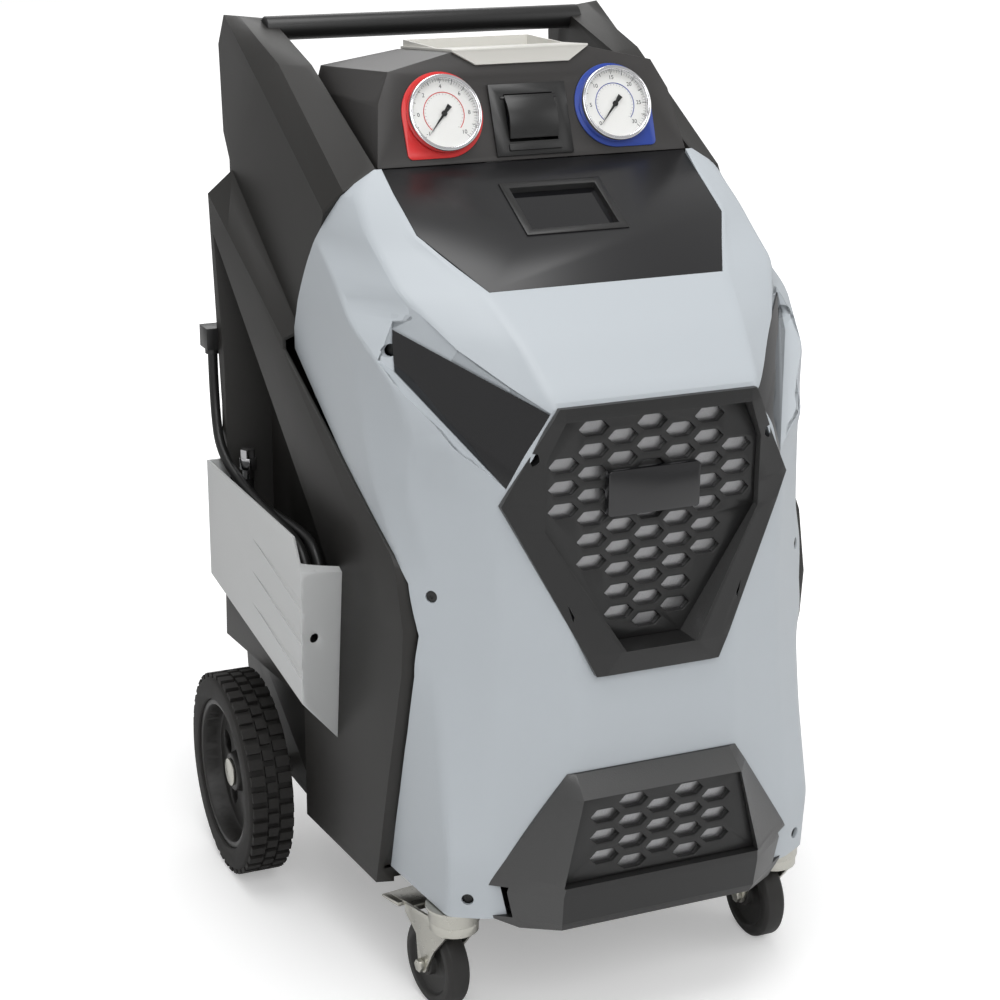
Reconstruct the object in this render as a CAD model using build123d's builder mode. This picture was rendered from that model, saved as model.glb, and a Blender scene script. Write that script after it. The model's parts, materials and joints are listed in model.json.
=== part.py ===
"""Air conditioning recharge station: a wheeled service cabinet with gauges, printer and screen.

Millimetres. +Z is up, the front faces -Y and +X is to the right as one stands before the front.
The origin is on the floor, under the middle of the station's box.
"""
from build123d import *
import math
import os

os.makedirs("parts", exist_ok=True)

# Fits and clearances
running_gap = 0.05         # radial gap where one piece turns on another
slip_gap = 0.15            # gap round a piece that drops into its seat
seam_gap = 0.3             # gap between neighbouring covers
shell_wall = 4.0           # wall of the moulded covers
shoulder_wall = 10.0       # thicker where the front cover folds over its shoulders
shoulder_foot_z = 580.0
shoulder_top_z = 850.0

# Wheels, axle and casters
rear_wheel_radius = 124.0
rear_tyre_width = 55.0
rear_wheel_y = 179.0
track_half = 323.0         # outer face of a rear wheel
rim_radius = 92.0
rim_lip = 7.0
hub_radius = 23.0
spoke_windows = 5
axle_radius = 10.0
axle_end_inset = 11.0
caster_x = 196.0
caster_y = -251.0
caster_height = 136.0
caster_wheel_radius = 50.0
caster_wheel_width = 27.0
caster_trail = 34.0
caster_bolt_radius = 4.0
kingpin_radius = 6.0
raceway_radius = 28.0
raceway_depth = 14.0
caster_flange_radius = 31.0
caster_flange_thick = 4.0
caster_stem_radius = 6.0
caster_nut_radius = 11.0
fork_steel = 3.0
left_swivel_deg = 8.0      # the left caster stands turned a little
pedal_width = 46.0
pedal_length = 52.0

# Cabinet
tray_thick = 4.0
shell_bottom = 118.0
tower_inner_x = 187.0
tower_outer_x = 241.0
flank_rear_x = 277.0
flank_rear_y = 292.0
flank_taper = 0.075        # how much the flank narrows for each millimetre forward
rear_face_y = 324.0
handle_radius = 14.0
handle_y = 302.0
handle_z = 995.5
handle_socket = 14.0
recess_floor_x = 218.0
rear_deck_z = 872.0
console_rear_y = 177.0

# Console panels, on two sloping planes that meet along the fold
fold_y = -14.6
fold_z = 879.0
upper_lean_deg = 21.7      # upper panel, back from upright
lower_slope_deg = 29.1     # lower panel, up from level
panel_thick = 3.0
gauge_x = 101.6
gauge_up = 53.6            # gauge centre above the fold, along the panel
gauge_ring_radius = 41.5
gauge_dial_radius = 37.0
gauge_can_radius = 38.0
gauge_can_depth = 30.0
gauge_stand = 11.0
gauge_plate_thick = 1.6
gauge_plate_margin = 5.0
needle_length = 30.0
needle_rest_deg = 228.0
printer_width = 91.0
printer_height = 78.0
printer_up = 43.5
printer_depth = 42.0
printer_lid_bulge = 9.0
screen_width = 119.0
screen_height = 86.0
screen_down = 81.0
screen_frame = 9.0

# Front grilles
grille_frame_top = (110.5, 686.0)
grille_frame_mid = (163.0, 586.0)
grille_frame_foot = (70.5, 404.0)
grille_open_top = (104.0, 672.0)
grille_open_mid = (121.0, 632.0)
grille_open_low = (121.0, 558.0)
grille_open_foot = (40.0, 429.0)
grille_insert_y = -298.0   # front of the honeycomb insert
grille_insert_thick = 8.0
grille_column_pitch = 32.6
grille_row_pitch = 23.5
grille_cell_width = 34.0
grille_cell_height = 15.0
grille_edge = 6.0
mesh_thick = 1.5
plaque_width = 104.0
plaque_height = 48.0
plaque_z = 590.0
trim_top = (99.0, 298.0)
trim_side = (181.0, 173.0)
trim_open_top = (92.0, 278.0)
trim_open_foot = (115.0, 184.0)
front_y = -353.0           # the foremost point, on the lower trim

# Hose bins
bin_outer_x = 302.0
bin_wall = 3.0
hose_radius = 6.0


def save(piece, name):
    """Label a finished piece and write it to its own file."""
    piece.label = name
    export_step(piece, f"parts/{name}.step")


def mirrored(half):
    """Close an outline that is given on its +X side, from the front to the rear."""
    return list(half) + [(-x, y) for x, y in reversed(half)]


# The two console planes: local x is the station's X, local y goes up the panel
upper_lean = math.radians(upper_lean_deg)
lower_slope = math.radians(lower_slope_deg)
upper_plane = Plane(origin=(0, fold_y, fold_z), x_dir=(1, 0, 0),
                    z_dir=(0, -math.cos(upper_lean), math.sin(upper_lean)))
lower_plane = Plane(origin=(0, fold_y, fold_z), x_dir=(1, 0, 0),
                    z_dir=(0, -math.sin(lower_slope), math.cos(lower_slope)))


def up_panel(z):
    """Distance from the fold up the upper panel to a height."""
    return (z - fold_z) / math.cos(upper_lean)


def down_panel(z):
    """Distance from the fold down the lower panel to a height, as a negative number."""
    return (z - fold_z) / math.sin(lower_slope)


def across(points, half_width, start=None):
    """A prism along X whose outline is given as (y, z) points."""
    start = -half_width if start is None else start
    with BuildPart() as prism:
        with BuildSketch(Plane.YZ.offset(start)):
            with BuildLine():
                Polyline(*points, close=True)
            make_face()
        extrude(amount=half_width - start)
    return prism.part


def stacked(levels):
    """A faceted body through level outlines, given as (height, half outline)."""
    with BuildPart() as body:
        for height, half in levels:
            with BuildSketch(Plane.XY.offset(height)):
                with BuildLine():
                    Polyline(*mirrored(half), close=True)
                make_face()
        loft(ruled=True)
    return body.part


def other_side(piece):
    """The same piece on the other side of the station."""
    return mirror(piece, about=Plane.YZ)


# Outer form of the front cover. Each level gives, on the +X side, the front corner, the front
# shoulder, the upper fold, the lower fold, the side edge and the rear end of the side wing.
front_levels = [
    (138.0, [(99, -318), (180, -301), (205, -287), (216, -280), (229, -150), (244, 90)]),
    (205.0, [(99, -320), (180, -301), (205, -290), (217, -284), (231, -170), (244, 90)]),
    (300.0, [(99, -320), (172, -292), (200, -273), (215, -262), (232, -200), (244, 90)]),
    (400.0, [(92, -320), (165, -287), (195, -261), (212, -246), (232, -226), (245, 90)]),
    (480.0, [(95, -318), (163, -285), (195, -254), (212, -238), (233, -216), (246, 90)]),
    (590.0, [(105, -313), (163, -284), (198, -243), (229, -206), (246, -150), (247, 90)]),
    (640.0, [(109, -310), (134, -301), (199, -258), (226, -208), (247, -130), (247, 90)]),
    (690.0, [(113, -306), (130, -289), (185, -241), (237, -195), (249, -110), (247, 90)]),
    (740.0, [(125, -252), (136, -243), (187, -209), (256, -124), (252, -60), (247, 90)]),
    (777.4, [(136, -198), (150, -190), (216, -158), (251, -58), (248, 0), (247, 90)]),
    (805.0, [(161, -145), (170, -138), (219, -111), (245, 8), (245, 40), (245, 90)]),
    (826.0, [(181, -110), (187, -105), (221, -77), (238, -2), (239, 30), (239, 90)]),
    (860.0, [(183, -49), (190, -45), (214, -31), (224, -17), (224, 30), (224, 90)]),
    (880.0, [(184, -19.5), (186, -19.2), (188, -18.9), (190, -18.6), (190, 30), (190, 90)]),
]


def inward(levels, wall):
    """The same levels drawn in by a wall, open below and behind."""
    drawn = []
    for height, half in levels:
        steep = shoulder_foot_z < height < shoulder_top_z
        thick = shoulder_wall if steep else wall
        lift = -wall if height < shell_bottom + 30 or height > shoulder_foot_z else 0.0
        (ax, ay), (bx, by), (cx, cy), (dx, dy), (fx, fy), (ex, ey) = half
        drawn.append((height + lift, [
            (ax - 0.3 * thick, ay + thick), (bx - 0.6 * thick, by + thick),
            (cx - 0.8 * thick, cy + 0.8 * thick), (dx - thick, dy + 0.6 * thick),
            (fx - thick, fy), (ex - wall, ey + 20.0)]))
    return drawn


# Side outline (y, z) that the front cover keeps; its rear edge is the seam with the side shells
front_keep = [(-400, 100), (-400, 900), (-18.5, 900), (-18.5, 860), (15, 803), (67, 728), (82, 695),
              (82, 671), (-190, 515), (-213, 490), (-228, 437), (-225, 392), (-207, 320),
              (-184, 243), (-150, 137), (-150, 100)]

front_solid = stacked(front_levels)

# Console panel outline along the lower plane, half, from the fold down
console_half = [(181.0, -0.4), (178.0, down_panel(826.0)), (133.5, down_panel(779.5))]
grille_half = [grille_frame_top, grille_frame_mid, grille_frame_foot]


def toward(points, centre, amount):
    """Draw an outline in towards a centre by an amount at each corner."""
    drawn = []
    for x, z in points:
        reach = math.hypot(x - centre[0], z - centre[1])
        share = (reach - amount) / reach
        drawn.append((centre[0] + (x - centre[0]) * share, centre[1] + (z - centre[1]) * share))
    return drawn


def facing(points, front, depth):
    """A prism along Y from a front face backwards; the outline is (x, z) points."""
    with BuildPart() as prism:
        with BuildSketch(Plane.XZ.offset(-front)):
            with BuildLine():
                Polyline(*points, close=True)
            make_face()
        extrude(amount=-depth)
    return prism.part


grille_centre = (0.0, 560.0)
grille_hole = mirrored(toward(grille_half, grille_centre, 12.0))
trim_centre = (0.0, 215.0)
trim_hole = mirrored(toward([trim_top, trim_side], trim_centre, 14.0) + [(150.0, 100.0)])

# Shoulder recesses that hold a plain inlay on each side
inlay_thick = 2.0
inlay_corners = [(116.5, -296.1, 678.6), (158.5, -284.4, 606.6), (227.7, -170.8, 702.6)]
inlay_origin = Vector(*inlay_corners[1])
inlay_across = (Vector(*inlay_corners[2]) - inlay_origin).normalized()
inlay_normal = inlay_across.cross(Vector(*inlay_corners[0]) - inlay_origin).normalized()
inlay_plane = Plane(origin=inlay_origin, x_dir=inlay_across, z_dir=inlay_normal)
inlay_outline = [(12, 84), (60, 69.3), (127, 49), (197, 28), (164, 0), (-5, 0)]
# Recess outlines above its floor: the floor itself, its upper rim and its lower lip
rim_outline = [(12, 86.5), (60, 75.5), (127, 63.5), (216, 59), (181, -1.5), (-5, -2)]
lip_outline = [(12, 88.5), (60, 78), (127, 66), (222, 62), (190, -11), (-5, -12)]
rim_height = 7.5
lip_height = 40.0
recess_steps = 4
recess_centre = (100.0, 30.0)


def between(start, end, share):
    """An outline part of the way from one outline to another."""
    return [(x0 + (x1 - x0) * share, y0 + (y1 - y0) * share) for (x0, y0), (x1, y1) in zip(start, end)]


recess_levels = [(rim_height * step / recess_steps, between(inlay_outline, rim_outline, step / recess_steps))
                 for step in range(recess_steps + 1)]
recess_levels.append((lip_height, lip_outline))


def recess_form(wall):
    """The space of the recess above its floor; with a wall it is grown by that wall."""
    with BuildPart() as form:
        for height, outline in recess_levels:
            with BuildSketch(inlay_plane.offset(height - inlay_thick - wall)):
                with BuildLine():
                    Polyline(*toward(outline, recess_centre, -wall), close=True)
                make_face()
        loft(ruled=True)
    return form.part


screw_head_radius = 6.0
screw_seat_depth = 3.0
# Screw places: x, y, z and the plan angle that the surface faces, from straight ahead
screw_places = [(214.6, -234.9, 480.5, 48.0), (225.5, -158.0, 722.0, 50.0), (196.0, -288.0, 160.0, 30.0)]


def outward_plane(place, side):
    """Plane on the cover at a screw, looking out of it."""
    x, y, z, turn = place
    angle = math.radians(turn)
    return Plane(origin=(side * x, y, z), x_dir=(math.cos(angle), side * math.sin(angle), 0),
                 z_dir=(side * math.sin(angle), -math.cos(angle), 0))


with BuildPart() as cover_hollow:
    add(stacked(inward(front_levels, shell_wall)))
    add(recess_form(shell_wall), mode=Mode.SUBTRACT)

with BuildPart() as fascia_half:
    add(front_solid)
    add(cover_hollow.part, mode=Mode.SUBTRACT)
    add(across(front_keep, 300.0), mode=Mode.INTERSECT)
    with BuildSketch(lower_plane.offset(20.0)):
        with BuildLine():
            Polyline(*mirrored(console_half), close=True)
        make_face()
    extrude(amount=-60.0, mode=Mode.SUBTRACT)
    add(facing(grille_hole, -345.0, 90.0), mode=Mode.SUBTRACT)
    add(facing(trim_hole, -345.0, 90.0), mode=Mode.SUBTRACT)
    add(recess_form(0.0), mode=Mode.SUBTRACT)
    for place in screw_places:
        with BuildSketch(outward_plane(place, 1).offset(12.0)):
            Circle(screw_head_radius + 0.5)
        extrude(amount=-12.0 - screw_seat_depth, mode=Mode.SUBTRACT)
    split(bisect_by=Plane.YZ, keep=Keep.TOP)
with BuildPart() as front_fascia:
    add(fascia_half.part)
    add(other_side(fascia_half.part))
save(front_fascia.part, "front_fascia")

# Side shells. The tower is a box section that carries the handle; the flank stands out from it and
# holds the open recess where the hoses hang.
tower_stations = [
    (tower_inner_x, [(318, 1005), (177, 967), (-18, 880), (-60, 800), (-150, 560), (-185, 470)]),
    (224.0, [(323, 1009), (183, 969), (-17.5, 860), (-50, 790), (-150, 560), (-185, 470)]),
    (tower_outer_x, [(328, 1010.5), (200, 945), (0, 838), (-40, 770), (-150, 550), (-185, 465)]),
]
tower_rear = [(-185, 380), (-165, 240), (-140, shell_bottom), (rear_face_y - 20, shell_bottom),
              (rear_face_y, 262), (rear_face_y, 844), (345, 874), (353, 975)]
flank_base = [(rear_face_y - 1, 843), (-198, 528), (-222, 440), (-218, 390), (-180, 240),
              (-150, shell_bottom), (45, shell_bottom), (45, 262), (300, 262), (300, 560)]
flank_face = [(flank_rear_y, 806), (-182, 508), (-200, 440), (-196, 390), (-160, 240),
              (-134, shell_bottom), (45, shell_bottom), (45, 262), (284, 262), (270, 560)]
recess_outline = [(283, 765), (15, 502), (-40, 440), (-40, 352), (262, 352), (262, 620)]
flank_inner_x = 225.0
flank_cut_x = 285.0


def spread(stations):
    """A faceted body through side outlines, given as (x, outline) stations."""
    with BuildPart() as body:
        for x, points in stations:
            with BuildSketch(Plane.YZ.offset(x)):
                with BuildLine():
                    Polyline(*points, close=True)
                make_face()
        loft(ruled=True)
    return body.part


def shrink(points, centre, wall):
    """Draw a side outline in by about a wall along Y and Z."""
    return [(y + (wall if y < centre[0] else -wall), z + (wall if z < centre[1] else -wall))
            for y, z in points]


def flank_plane(inset):
    """The sloping outer plane of the flank, drawn in by a wall."""
    return Plane(origin=(flank_rear_x - inset, flank_rear_y, 0),
                 x_dir=Vector(flank_taper, 1, 0).normalized(),
                 z_dir=Vector(1, -flank_taper, 0).normalized())


def cabinet_side(wall):
    """Tower and flank together; with a wall they are drawn in to make the hollow."""
    centre = (60, 500)
    tower = [(x - (wall if index == 2 else 0), shrink(front + tower_rear, centre, wall))
             for index, (x, front) in enumerate(tower_stations)]
    flank = [(flank_inner_x, shrink(flank_base, centre, wall)),
             (flank_cut_x, shrink(flank_face, centre, wall))]
    with BuildPart() as body:
        add(spread(tower))
        add(spread(flank))
        split(bisect_by=flank_plane(wall), keep=Keep.BOTTOM)
    return body.part


inner_wall_bottom = 850.0
axle_slot_half = 21.0
recess_grow = [(1, 2), (-1, 1), (-1, 0), (-1, -1), (1, -1), (1, 0)]
bar_length_half = tower_inner_x + handle_socket

with BuildPart() as side_hollow:
    add(cabinet_side(shell_wall))
    with Locations((tower_inner_x + shell_wall / 2, 200, inner_wall_bottom + 100)):
        Box(shell_wall, 500, 200, mode=Mode.SUBTRACT)
    with BuildSketch(Plane.YZ.offset(recess_floor_x - shell_wall)):
        with BuildLine():
            Polyline(*[(y + shell_wall * dy, z + shell_wall * dz)
                       for (y, z), (dy, dz) in zip(recess_outline, recess_grow)], close=True)
        make_face()
    extrude(amount=90.0, mode=Mode.SUBTRACT)
    with Locations((tower_inner_x + 12, handle_y, handle_z)):
        Box(24 + handle_socket, 2 * handle_radius + 10, 2 * handle_radius + 10, mode=Mode.SUBTRACT)

with BuildPart() as shell_right:
    add(cabinet_side(0))
    add(side_hollow.part, mode=Mode.SUBTRACT)
    with BuildSketch(Plane.YZ.offset(recess_floor_x)):
        with BuildLine():
            Polyline(*recess_outline, close=True)
        make_face()
    extrude(amount=90.0, mode=Mode.SUBTRACT)
    with BuildSketch(Plane.YZ.offset(tower_inner_x - 1)):
        with Locations((handle_y, handle_z)):
            Circle(handle_radius + running_gap)
    extrude(amount=handle_socket + 1 + seam_gap, mode=Mode.SUBTRACT)
    with Locations((tower_inner_x + 40, rear_wheel_y, shell_bottom)):
        Box(100, 2 * axle_slot_half, 2 * (caster_height - shell_bottom) + 8, mode=Mode.SUBTRACT)
    with Locations((tower_inner_x + 24.75, -150, caster_height + tray_thick / 2)):
        Box(49.5, 50, tray_thick + 2 * seam_gap, mode=Mode.SUBTRACT)
    add(across(front_keep, 300.0), mode=Mode.SUBTRACT)
# The strip left loose behind the front cover goes
shell_body = shell_right.solids().sort_by(SortBy.VOLUME)[-1]
save(shell_body, "side_shell_right")
save(other_side(shell_body), "side_shell_left")

# Handle bar across the two towers
with BuildPart() as handle_bar:
    with BuildSketch(Plane.YZ.offset(-bar_length_half)):
        with Locations((handle_y, handle_z)):
            Circle(handle_radius)
    extrude(amount=2 * bar_length_half)
    chamfer(handle_bar.edges().filter_by(GeomType.CIRCLE), 1.5)
save(handle_bar.part, "handle_bar")

# Base tray with its axle blocks
tray_half = [(100, -308), (172, -286), (205, -262), (214, -160), (tower_outer_x - 5.5, -128),
             (tower_outer_x - 5.5, 300), (tower_inner_x - 0.5, 300), (tower_inner_x - 0.5, rear_face_y - 8)]
block_inner_x = 196.0
block_width = 34.0
block_half = 17.0
block_bottom = 107.0
skirt_thick = 3.0
tray_bottom = caster_height
tray_top = tray_bottom + tray_thick
stem_hole_radius = caster_stem_radius + 0.25

with BuildPart() as base_tray:
    with BuildSketch(Plane.XY.offset(tray_bottom)):
        with BuildLine():
            Polyline(*mirrored(tray_half), close=True)
        make_face()
    extrude(amount=tray_thick)
    with BuildSketch(Plane.XY.offset(shell_bottom + shell_wall)):
        for side in (-1, 1):
            with Locations((side * (tower_outer_x - 5.5 - skirt_thick / 2), -30)):
                Rectangle(skirt_thick, 130)
    extrude(amount=tray_bottom - shell_bottom - shell_wall + 1)
    with BuildSketch(Plane.XY.offset(block_bottom)):
        for side in (-1, 1):
            with Locations((side * (block_inner_x + block_width / 2), rear_wheel_y)):
                Rectangle(block_width, 2 * block_half)
    extrude(amount=tray_bottom - block_bottom + 1)
    with BuildSketch(Plane.YZ.offset(-300)):
        with Locations((rear_wheel_y, rear_wheel_radius)):
            Circle(axle_radius + running_gap)
    extrude(amount=600, mode=Mode.SUBTRACT)
    with BuildSketch(Plane.XY.offset(tray_bottom - 1)):
        with Locations((-caster_x, caster_y), (caster_x, caster_y)):
            Circle(stem_hole_radius)
    extrude(amount=tray_thick + 2, mode=Mode.SUBTRACT)
save(base_tray.part, "base_tray")

# Rear axle and wheels
axle_half = track_half - axle_end_inset
washer_thick = 3.0
washer_radius = 17.0
hub_face_x = axle_half - washer_thick - seam_gap
with BuildPart() as rear_axle:
    with BuildSketch(Plane.YZ.offset(-axle_half)):
        with Locations((rear_wheel_y, rear_wheel_radius)):
            Circle(axle_radius)
    extrude(amount=2 * axle_half)
    for side in (-1, 1):
        with BuildSketch(Plane.YZ.offset(side * (axle_half - washer_thick))):
            with Locations((rear_wheel_y, rear_wheel_radius)):
                Circle(washer_radius)
        extrude(amount=side * washer_thick)
save(rear_axle.part, "rear_axle")

wheel_inner_x = track_half - rear_tyre_width
rim_web = 8.0
window_inner_radius = 40.0
window_outer_radius = 70.0
window_width = 24.0

with BuildPart() as tyre:
    with BuildSketch(Plane.XY):
        with BuildLine():
            Polyline((wheel_inner_x, rim_radius), (wheel_inner_x, rear_wheel_radius - 8),
                     (wheel_inner_x + 7, rear_wheel_radius - 1), (wheel_inner_x + 14, rear_wheel_radius),
                     (track_half - 14, rear_wheel_radius), (track_half - 7, rear_wheel_radius - 1),
                     (track_half, rear_wheel_radius - 8), (track_half, rim_radius), close=True)
        make_face()
    revolve(axis=Axis.X)
with BuildPart() as rim:
    with BuildSketch(Plane.XY):
        with BuildLine():
            Polyline((wheel_inner_x + 2, axle_radius + running_gap), (wheel_inner_x + 2, hub_radius),
                     (track_half - 34, hub_radius), (track_half - 34, rim_radius - rim_lip),
                     (wheel_inner_x + 3, rim_radius - rim_lip), (wheel_inner_x + 3, rim_radius),
                     (track_half - 3, rim_radius), (track_half - 3, rim_radius - rim_lip),
                     (track_half - 34 + rim_web, rim_radius - rim_lip - 4),
                     (track_half - 34 + rim_web, hub_radius + 3), (hub_face_x, hub_radius),
                     (hub_face_x, axle_radius + running_gap), close=True)
        make_face()
    revolve(axis=Axis.X)
    with BuildSketch(Plane.YZ.offset(wheel_inner_x)):
        with PolarLocations((window_inner_radius + window_outer_radius) / 2, spoke_windows,
                            start_angle=90):
            SlotOverall(window_outer_radius - window_inner_radius, window_width - 0.5, rotation=0)
    extrude(amount=rear_tyre_width, mode=Mode.SUBTRACT)
wheel_place = Location((0, rear_wheel_y, rear_wheel_radius))
save(tyre.part.moved(wheel_place), "rear_tyre_right")
save(rim.part.moved(wheel_place), "rear_rim_right")
save(other_side(tyre.part.moved(wheel_place)), "rear_tyre_left")
save(other_side(rim.part.moved(wheel_place)), "rear_rim_left")

# Casters, made about their swivel axis with the wheel trailing towards +Y, then placed
raceway_gap = 0.4
caster_nut_thick = 10.0
crown_top = caster_height - caster_flange_thick - raceway_depth - raceway_gap
crown_thick = 11.0
fork_half = caster_wheel_width / 2 + 3.5
axle_boss_radius = 9.0
pedal_pivot_y = 66.0
pedal_pivot_z = 103.0
pedal_pin_radius = 2.5
pedal_thick = 2.5
hub_bore = caster_bolt_radius + running_gap

with BuildPart() as caster_mounts:
    with BuildSketch(Plane.XY.offset(caster_height - caster_flange_thick)):
        Circle(caster_flange_radius)
    extrude(amount=caster_flange_thick)
    with BuildSketch(Plane.XY.offset(caster_height)):
        Circle(caster_stem_radius)
    extrude(amount=tray_thick + caster_nut_thick)
    with BuildSketch(Plane.XY.offset(tray_top)):
        RegularPolygon(caster_nut_radius, 6)
    extrude(amount=caster_nut_thick)
    with BuildSketch(Plane.XY.offset(caster_height - caster_flange_thick - raceway_depth)):
        Circle(raceway_radius)
    extrude(amount=raceway_depth)
    with BuildSketch(Plane.XY.offset(crown_top - crown_thick - 3)):
        Circle(kingpin_radius)
    extrude(amount=caster_height - crown_top + crown_thick)

with BuildPart() as fork:
    with BuildSketch(Plane.XY.offset(crown_top - crown_thick)):
        Circle(raceway_radius - 1.5)
    extrude(amount=crown_thick)
    for side in (-1, 1):
        with BuildSketch(Plane.YZ.offset(side * fork_half)):
            with BuildLine():
                Polyline((-16, crown_top - 2), (18, crown_top - 2), (pedal_pivot_y + 5, pedal_pivot_z + 5),
                         (pedal_pivot_y + 5, pedal_pivot_z - 5), (caster_trail + 13, 82),
                         (caster_trail + axle_boss_radius, caster_wheel_radius),
                         (caster_trail - axle_boss_radius, caster_wheel_radius), (10, 76),
                         (-16, crown_top - crown_thick), close=True)
            make_face()
            with Locations((caster_trail, caster_wheel_radius)):
                Circle(axle_boss_radius)
            with Locations((caster_trail, caster_wheel_radius)):
                Circle(hub_bore, mode=Mode.SUBTRACT)
            with Locations((pedal_pivot_y, pedal_pivot_z)):
                Circle(pedal_pin_radius + running_gap, mode=Mode.SUBTRACT)
        extrude(amount=side * fork_steel)
    with BuildSketch(Plane.XY.offset(crown_top - crown_thick - 1)):
        Circle(kingpin_radius + 0.3)
    extrude(amount=crown_thick + 2, mode=Mode.SUBTRACT)
    with BuildSketch(Plane.YZ.offset(-caster_wheel_width / 2 - 1.5)):
        with Locations((caster_trail, caster_wheel_radius)):
            Circle(caster_wheel_radius + 2.5)
    extrude(amount=caster_wheel_width + 3, mode=Mode.SUBTRACT)

with BuildPart() as caster_wheel:
    with BuildSketch(Plane.XY):
        with BuildLine():
            Polyline((-fork_half + 0.5, hub_bore), (-fork_half + 0.5, 13), (-9, 13), (-9, 34),
                     (-caster_wheel_width / 2, 37), (-caster_wheel_width / 2, caster_wheel_radius - 5),
                     (-caster_wheel_width / 2 + 4, caster_wheel_radius),
                     (caster_wheel_width / 2 - 4, caster_wheel_radius),
                     (caster_wheel_width / 2, caster_wheel_radius - 5), (caster_wheel_width / 2, 37),
                     (9, 34), (9, 13), (fork_half - 0.5, 13), (fork_half - 0.5, hub_bore), close=True)
        make_face()
    revolve(axis=Axis.X)

bolt_half = fork_half + fork_steel
with BuildPart() as caster_bolt:
    with BuildSketch(Plane.YZ.offset(-bolt_half)):
        Circle(caster_bolt_radius)
    extrude(amount=2 * bolt_half)
    for side in (-1, 1):
        with BuildSketch(Plane.YZ.offset(side * bolt_half)):
            RegularPolygon(7.5, 6)
        extrude(amount=side * 6.0)

with BuildPart() as brake_pedal:
    with BuildSketch(Plane.YZ.offset(-fork_half - fork_steel)):
        with Locations((pedal_pivot_y, pedal_pivot_z)):
            Circle(pedal_pin_radius)
    extrude(amount=2 * (fork_half + fork_steel))
    with BuildSketch(Plane.YZ.offset(-fork_half + 1)):
        with BuildLine():
            Polyline((pedal_pivot_y - 4, pedal_pivot_z - 3), (pedal_pivot_y - 4, pedal_pivot_z + 4),
                     (pedal_pivot_y + 6, pedal_pivot_z + 4),
                     (pedal_pivot_y + pedal_length, pedal_pivot_z - 5),
                     (pedal_pivot_y + pedal_length, pedal_pivot_z - 5 - pedal_thick),
                     (pedal_pivot_y + 6, pedal_pivot_z - pedal_thick), close=True)
        make_face()
    extrude(amount=2 * (fork_half - 1))
    with BuildSketch(Plane.YZ.offset(-pedal_width / 2)):
        with BuildLine():
            Polyline((pedal_pivot_y + 14, pedal_pivot_z + 1.5),
                     (pedal_pivot_y + pedal_length, pedal_pivot_z - 5),
                     (pedal_pivot_y + pedal_length, pedal_pivot_z - 5 - pedal_thick),
                     (pedal_pivot_y + 14, pedal_pivot_z + 1.5 - pedal_thick - 2), close=True)
        make_face()
    extrude(amount=pedal_width)

bolt_place = Location((0, caster_trail, caster_wheel_radius))
with BuildPart() as caster_heads:
    for side in (-1, 1):
        add(caster_mounts.part.moved(Location((side * caster_x, caster_y, 0))))
save(caster_heads.part, "caster_mounts")
for side, name in ((-1, "left"), (1, "right")):
    turn = left_swivel_deg if side < 0 else 0.0
    place = Location((side * caster_x, caster_y, 0), (0, 0, turn))
    save(fork.part.moved(place), f"caster_fork_{name}")
    save(caster_wheel.part.moved(place * bolt_place), f"caster_wheel_{name}")
    save(caster_bolt.part.moved(place * bolt_place), f"caster_bolt_{name}")
    save(brake_pedal.part.moved(place), f"brake_pedal_{name}")

# Console hood: the gauge panel and the cover behind it
hood_front = [(183.4, 0.3), (172.4, up_panel(943.6)), (156.3, up_panel(974.3)), (80.6, up_panel(991.0))]
hood_rear = [(tower_inner_x - 0.3, 880.5), (184.0, 939), (176.0, 966), (84.0, 980)]
store_half = 78.0
store_front_y = 76.0
store_floor_z = 938.0
lip_foot = (55.4, up_panel(976.7))


def console_form(wall):
    """The hood between the sloping panel and the rear edge; with a wall it is drawn in."""
    front = [(x - wall, y - (wall if index > 1 else 0)) for index, (x, y) in enumerate(hood_front)]
    rear = [(x - wall, z - (wall if index > 1 else 0)) for index, (x, z) in enumerate(hood_rear)]
    if wall:
        front[0] = (front[0][0], -6.0)
        rear[0] = (rear[0][0], 868.0)
    with BuildPart() as form:
        with BuildSketch(upper_plane.offset(-panel_thick if wall else 0.0)):
            with BuildLine():
                Polyline(*mirrored(front), close=True)
            make_face()
        with BuildSketch(Plane.XZ.offset(-console_rear_y - (wall if wall else 0))):
            with BuildLine():
                Polyline(*mirrored(rear), close=True)
            make_face()
        loft(ruled=True)
    return form.part


def gauge_plane(side):
    """Plane of a gauge on the panel: local y goes up the panel, z looks out of it."""
    return Plane(origin=upper_plane.from_local_coords((side * gauge_x, gauge_up, 0)),
                 x_dir=(1, 0, 0), z_dir=upper_plane.z_dir)


printer_plane = Plane(origin=upper_plane.from_local_coords((0, printer_up, 0)), x_dir=(1, 0, 0),
                      z_dir=upper_plane.z_dir)
screen_plane = Plane(origin=lower_plane.from_local_coords((0, -screen_down, 0)), x_dir=(1, 0, 0),
                     z_dir=lower_plane.z_dir)
printer_hole = (printer_width - 6.0, printer_height - 6.0)
screen_hole = (screen_width - 6.0, screen_height - 6.0)

with BuildPart() as console_hood:
    add(console_form(0))
    add(console_form(shell_wall), mode=Mode.SUBTRACT)
    for side in (-1, 1):
        with BuildSketch(gauge_plane(side).offset(5.0)):
            Circle(gauge_can_radius + slip_gap)
        extrude(amount=-20.0, mode=Mode.SUBTRACT)
    with BuildSketch(printer_plane.offset(5.0)):
        Rectangle(*printer_hole)
    extrude(amount=-20.0, mode=Mode.SUBTRACT)
    with Locations((0, (store_front_y + console_rear_y) / 2, store_floor_z + 45)):
        Box(2 * store_half, console_rear_y - store_front_y + 30, 120, mode=Mode.SUBTRACT)
save(console_hood.part, "console_hood")

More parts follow.
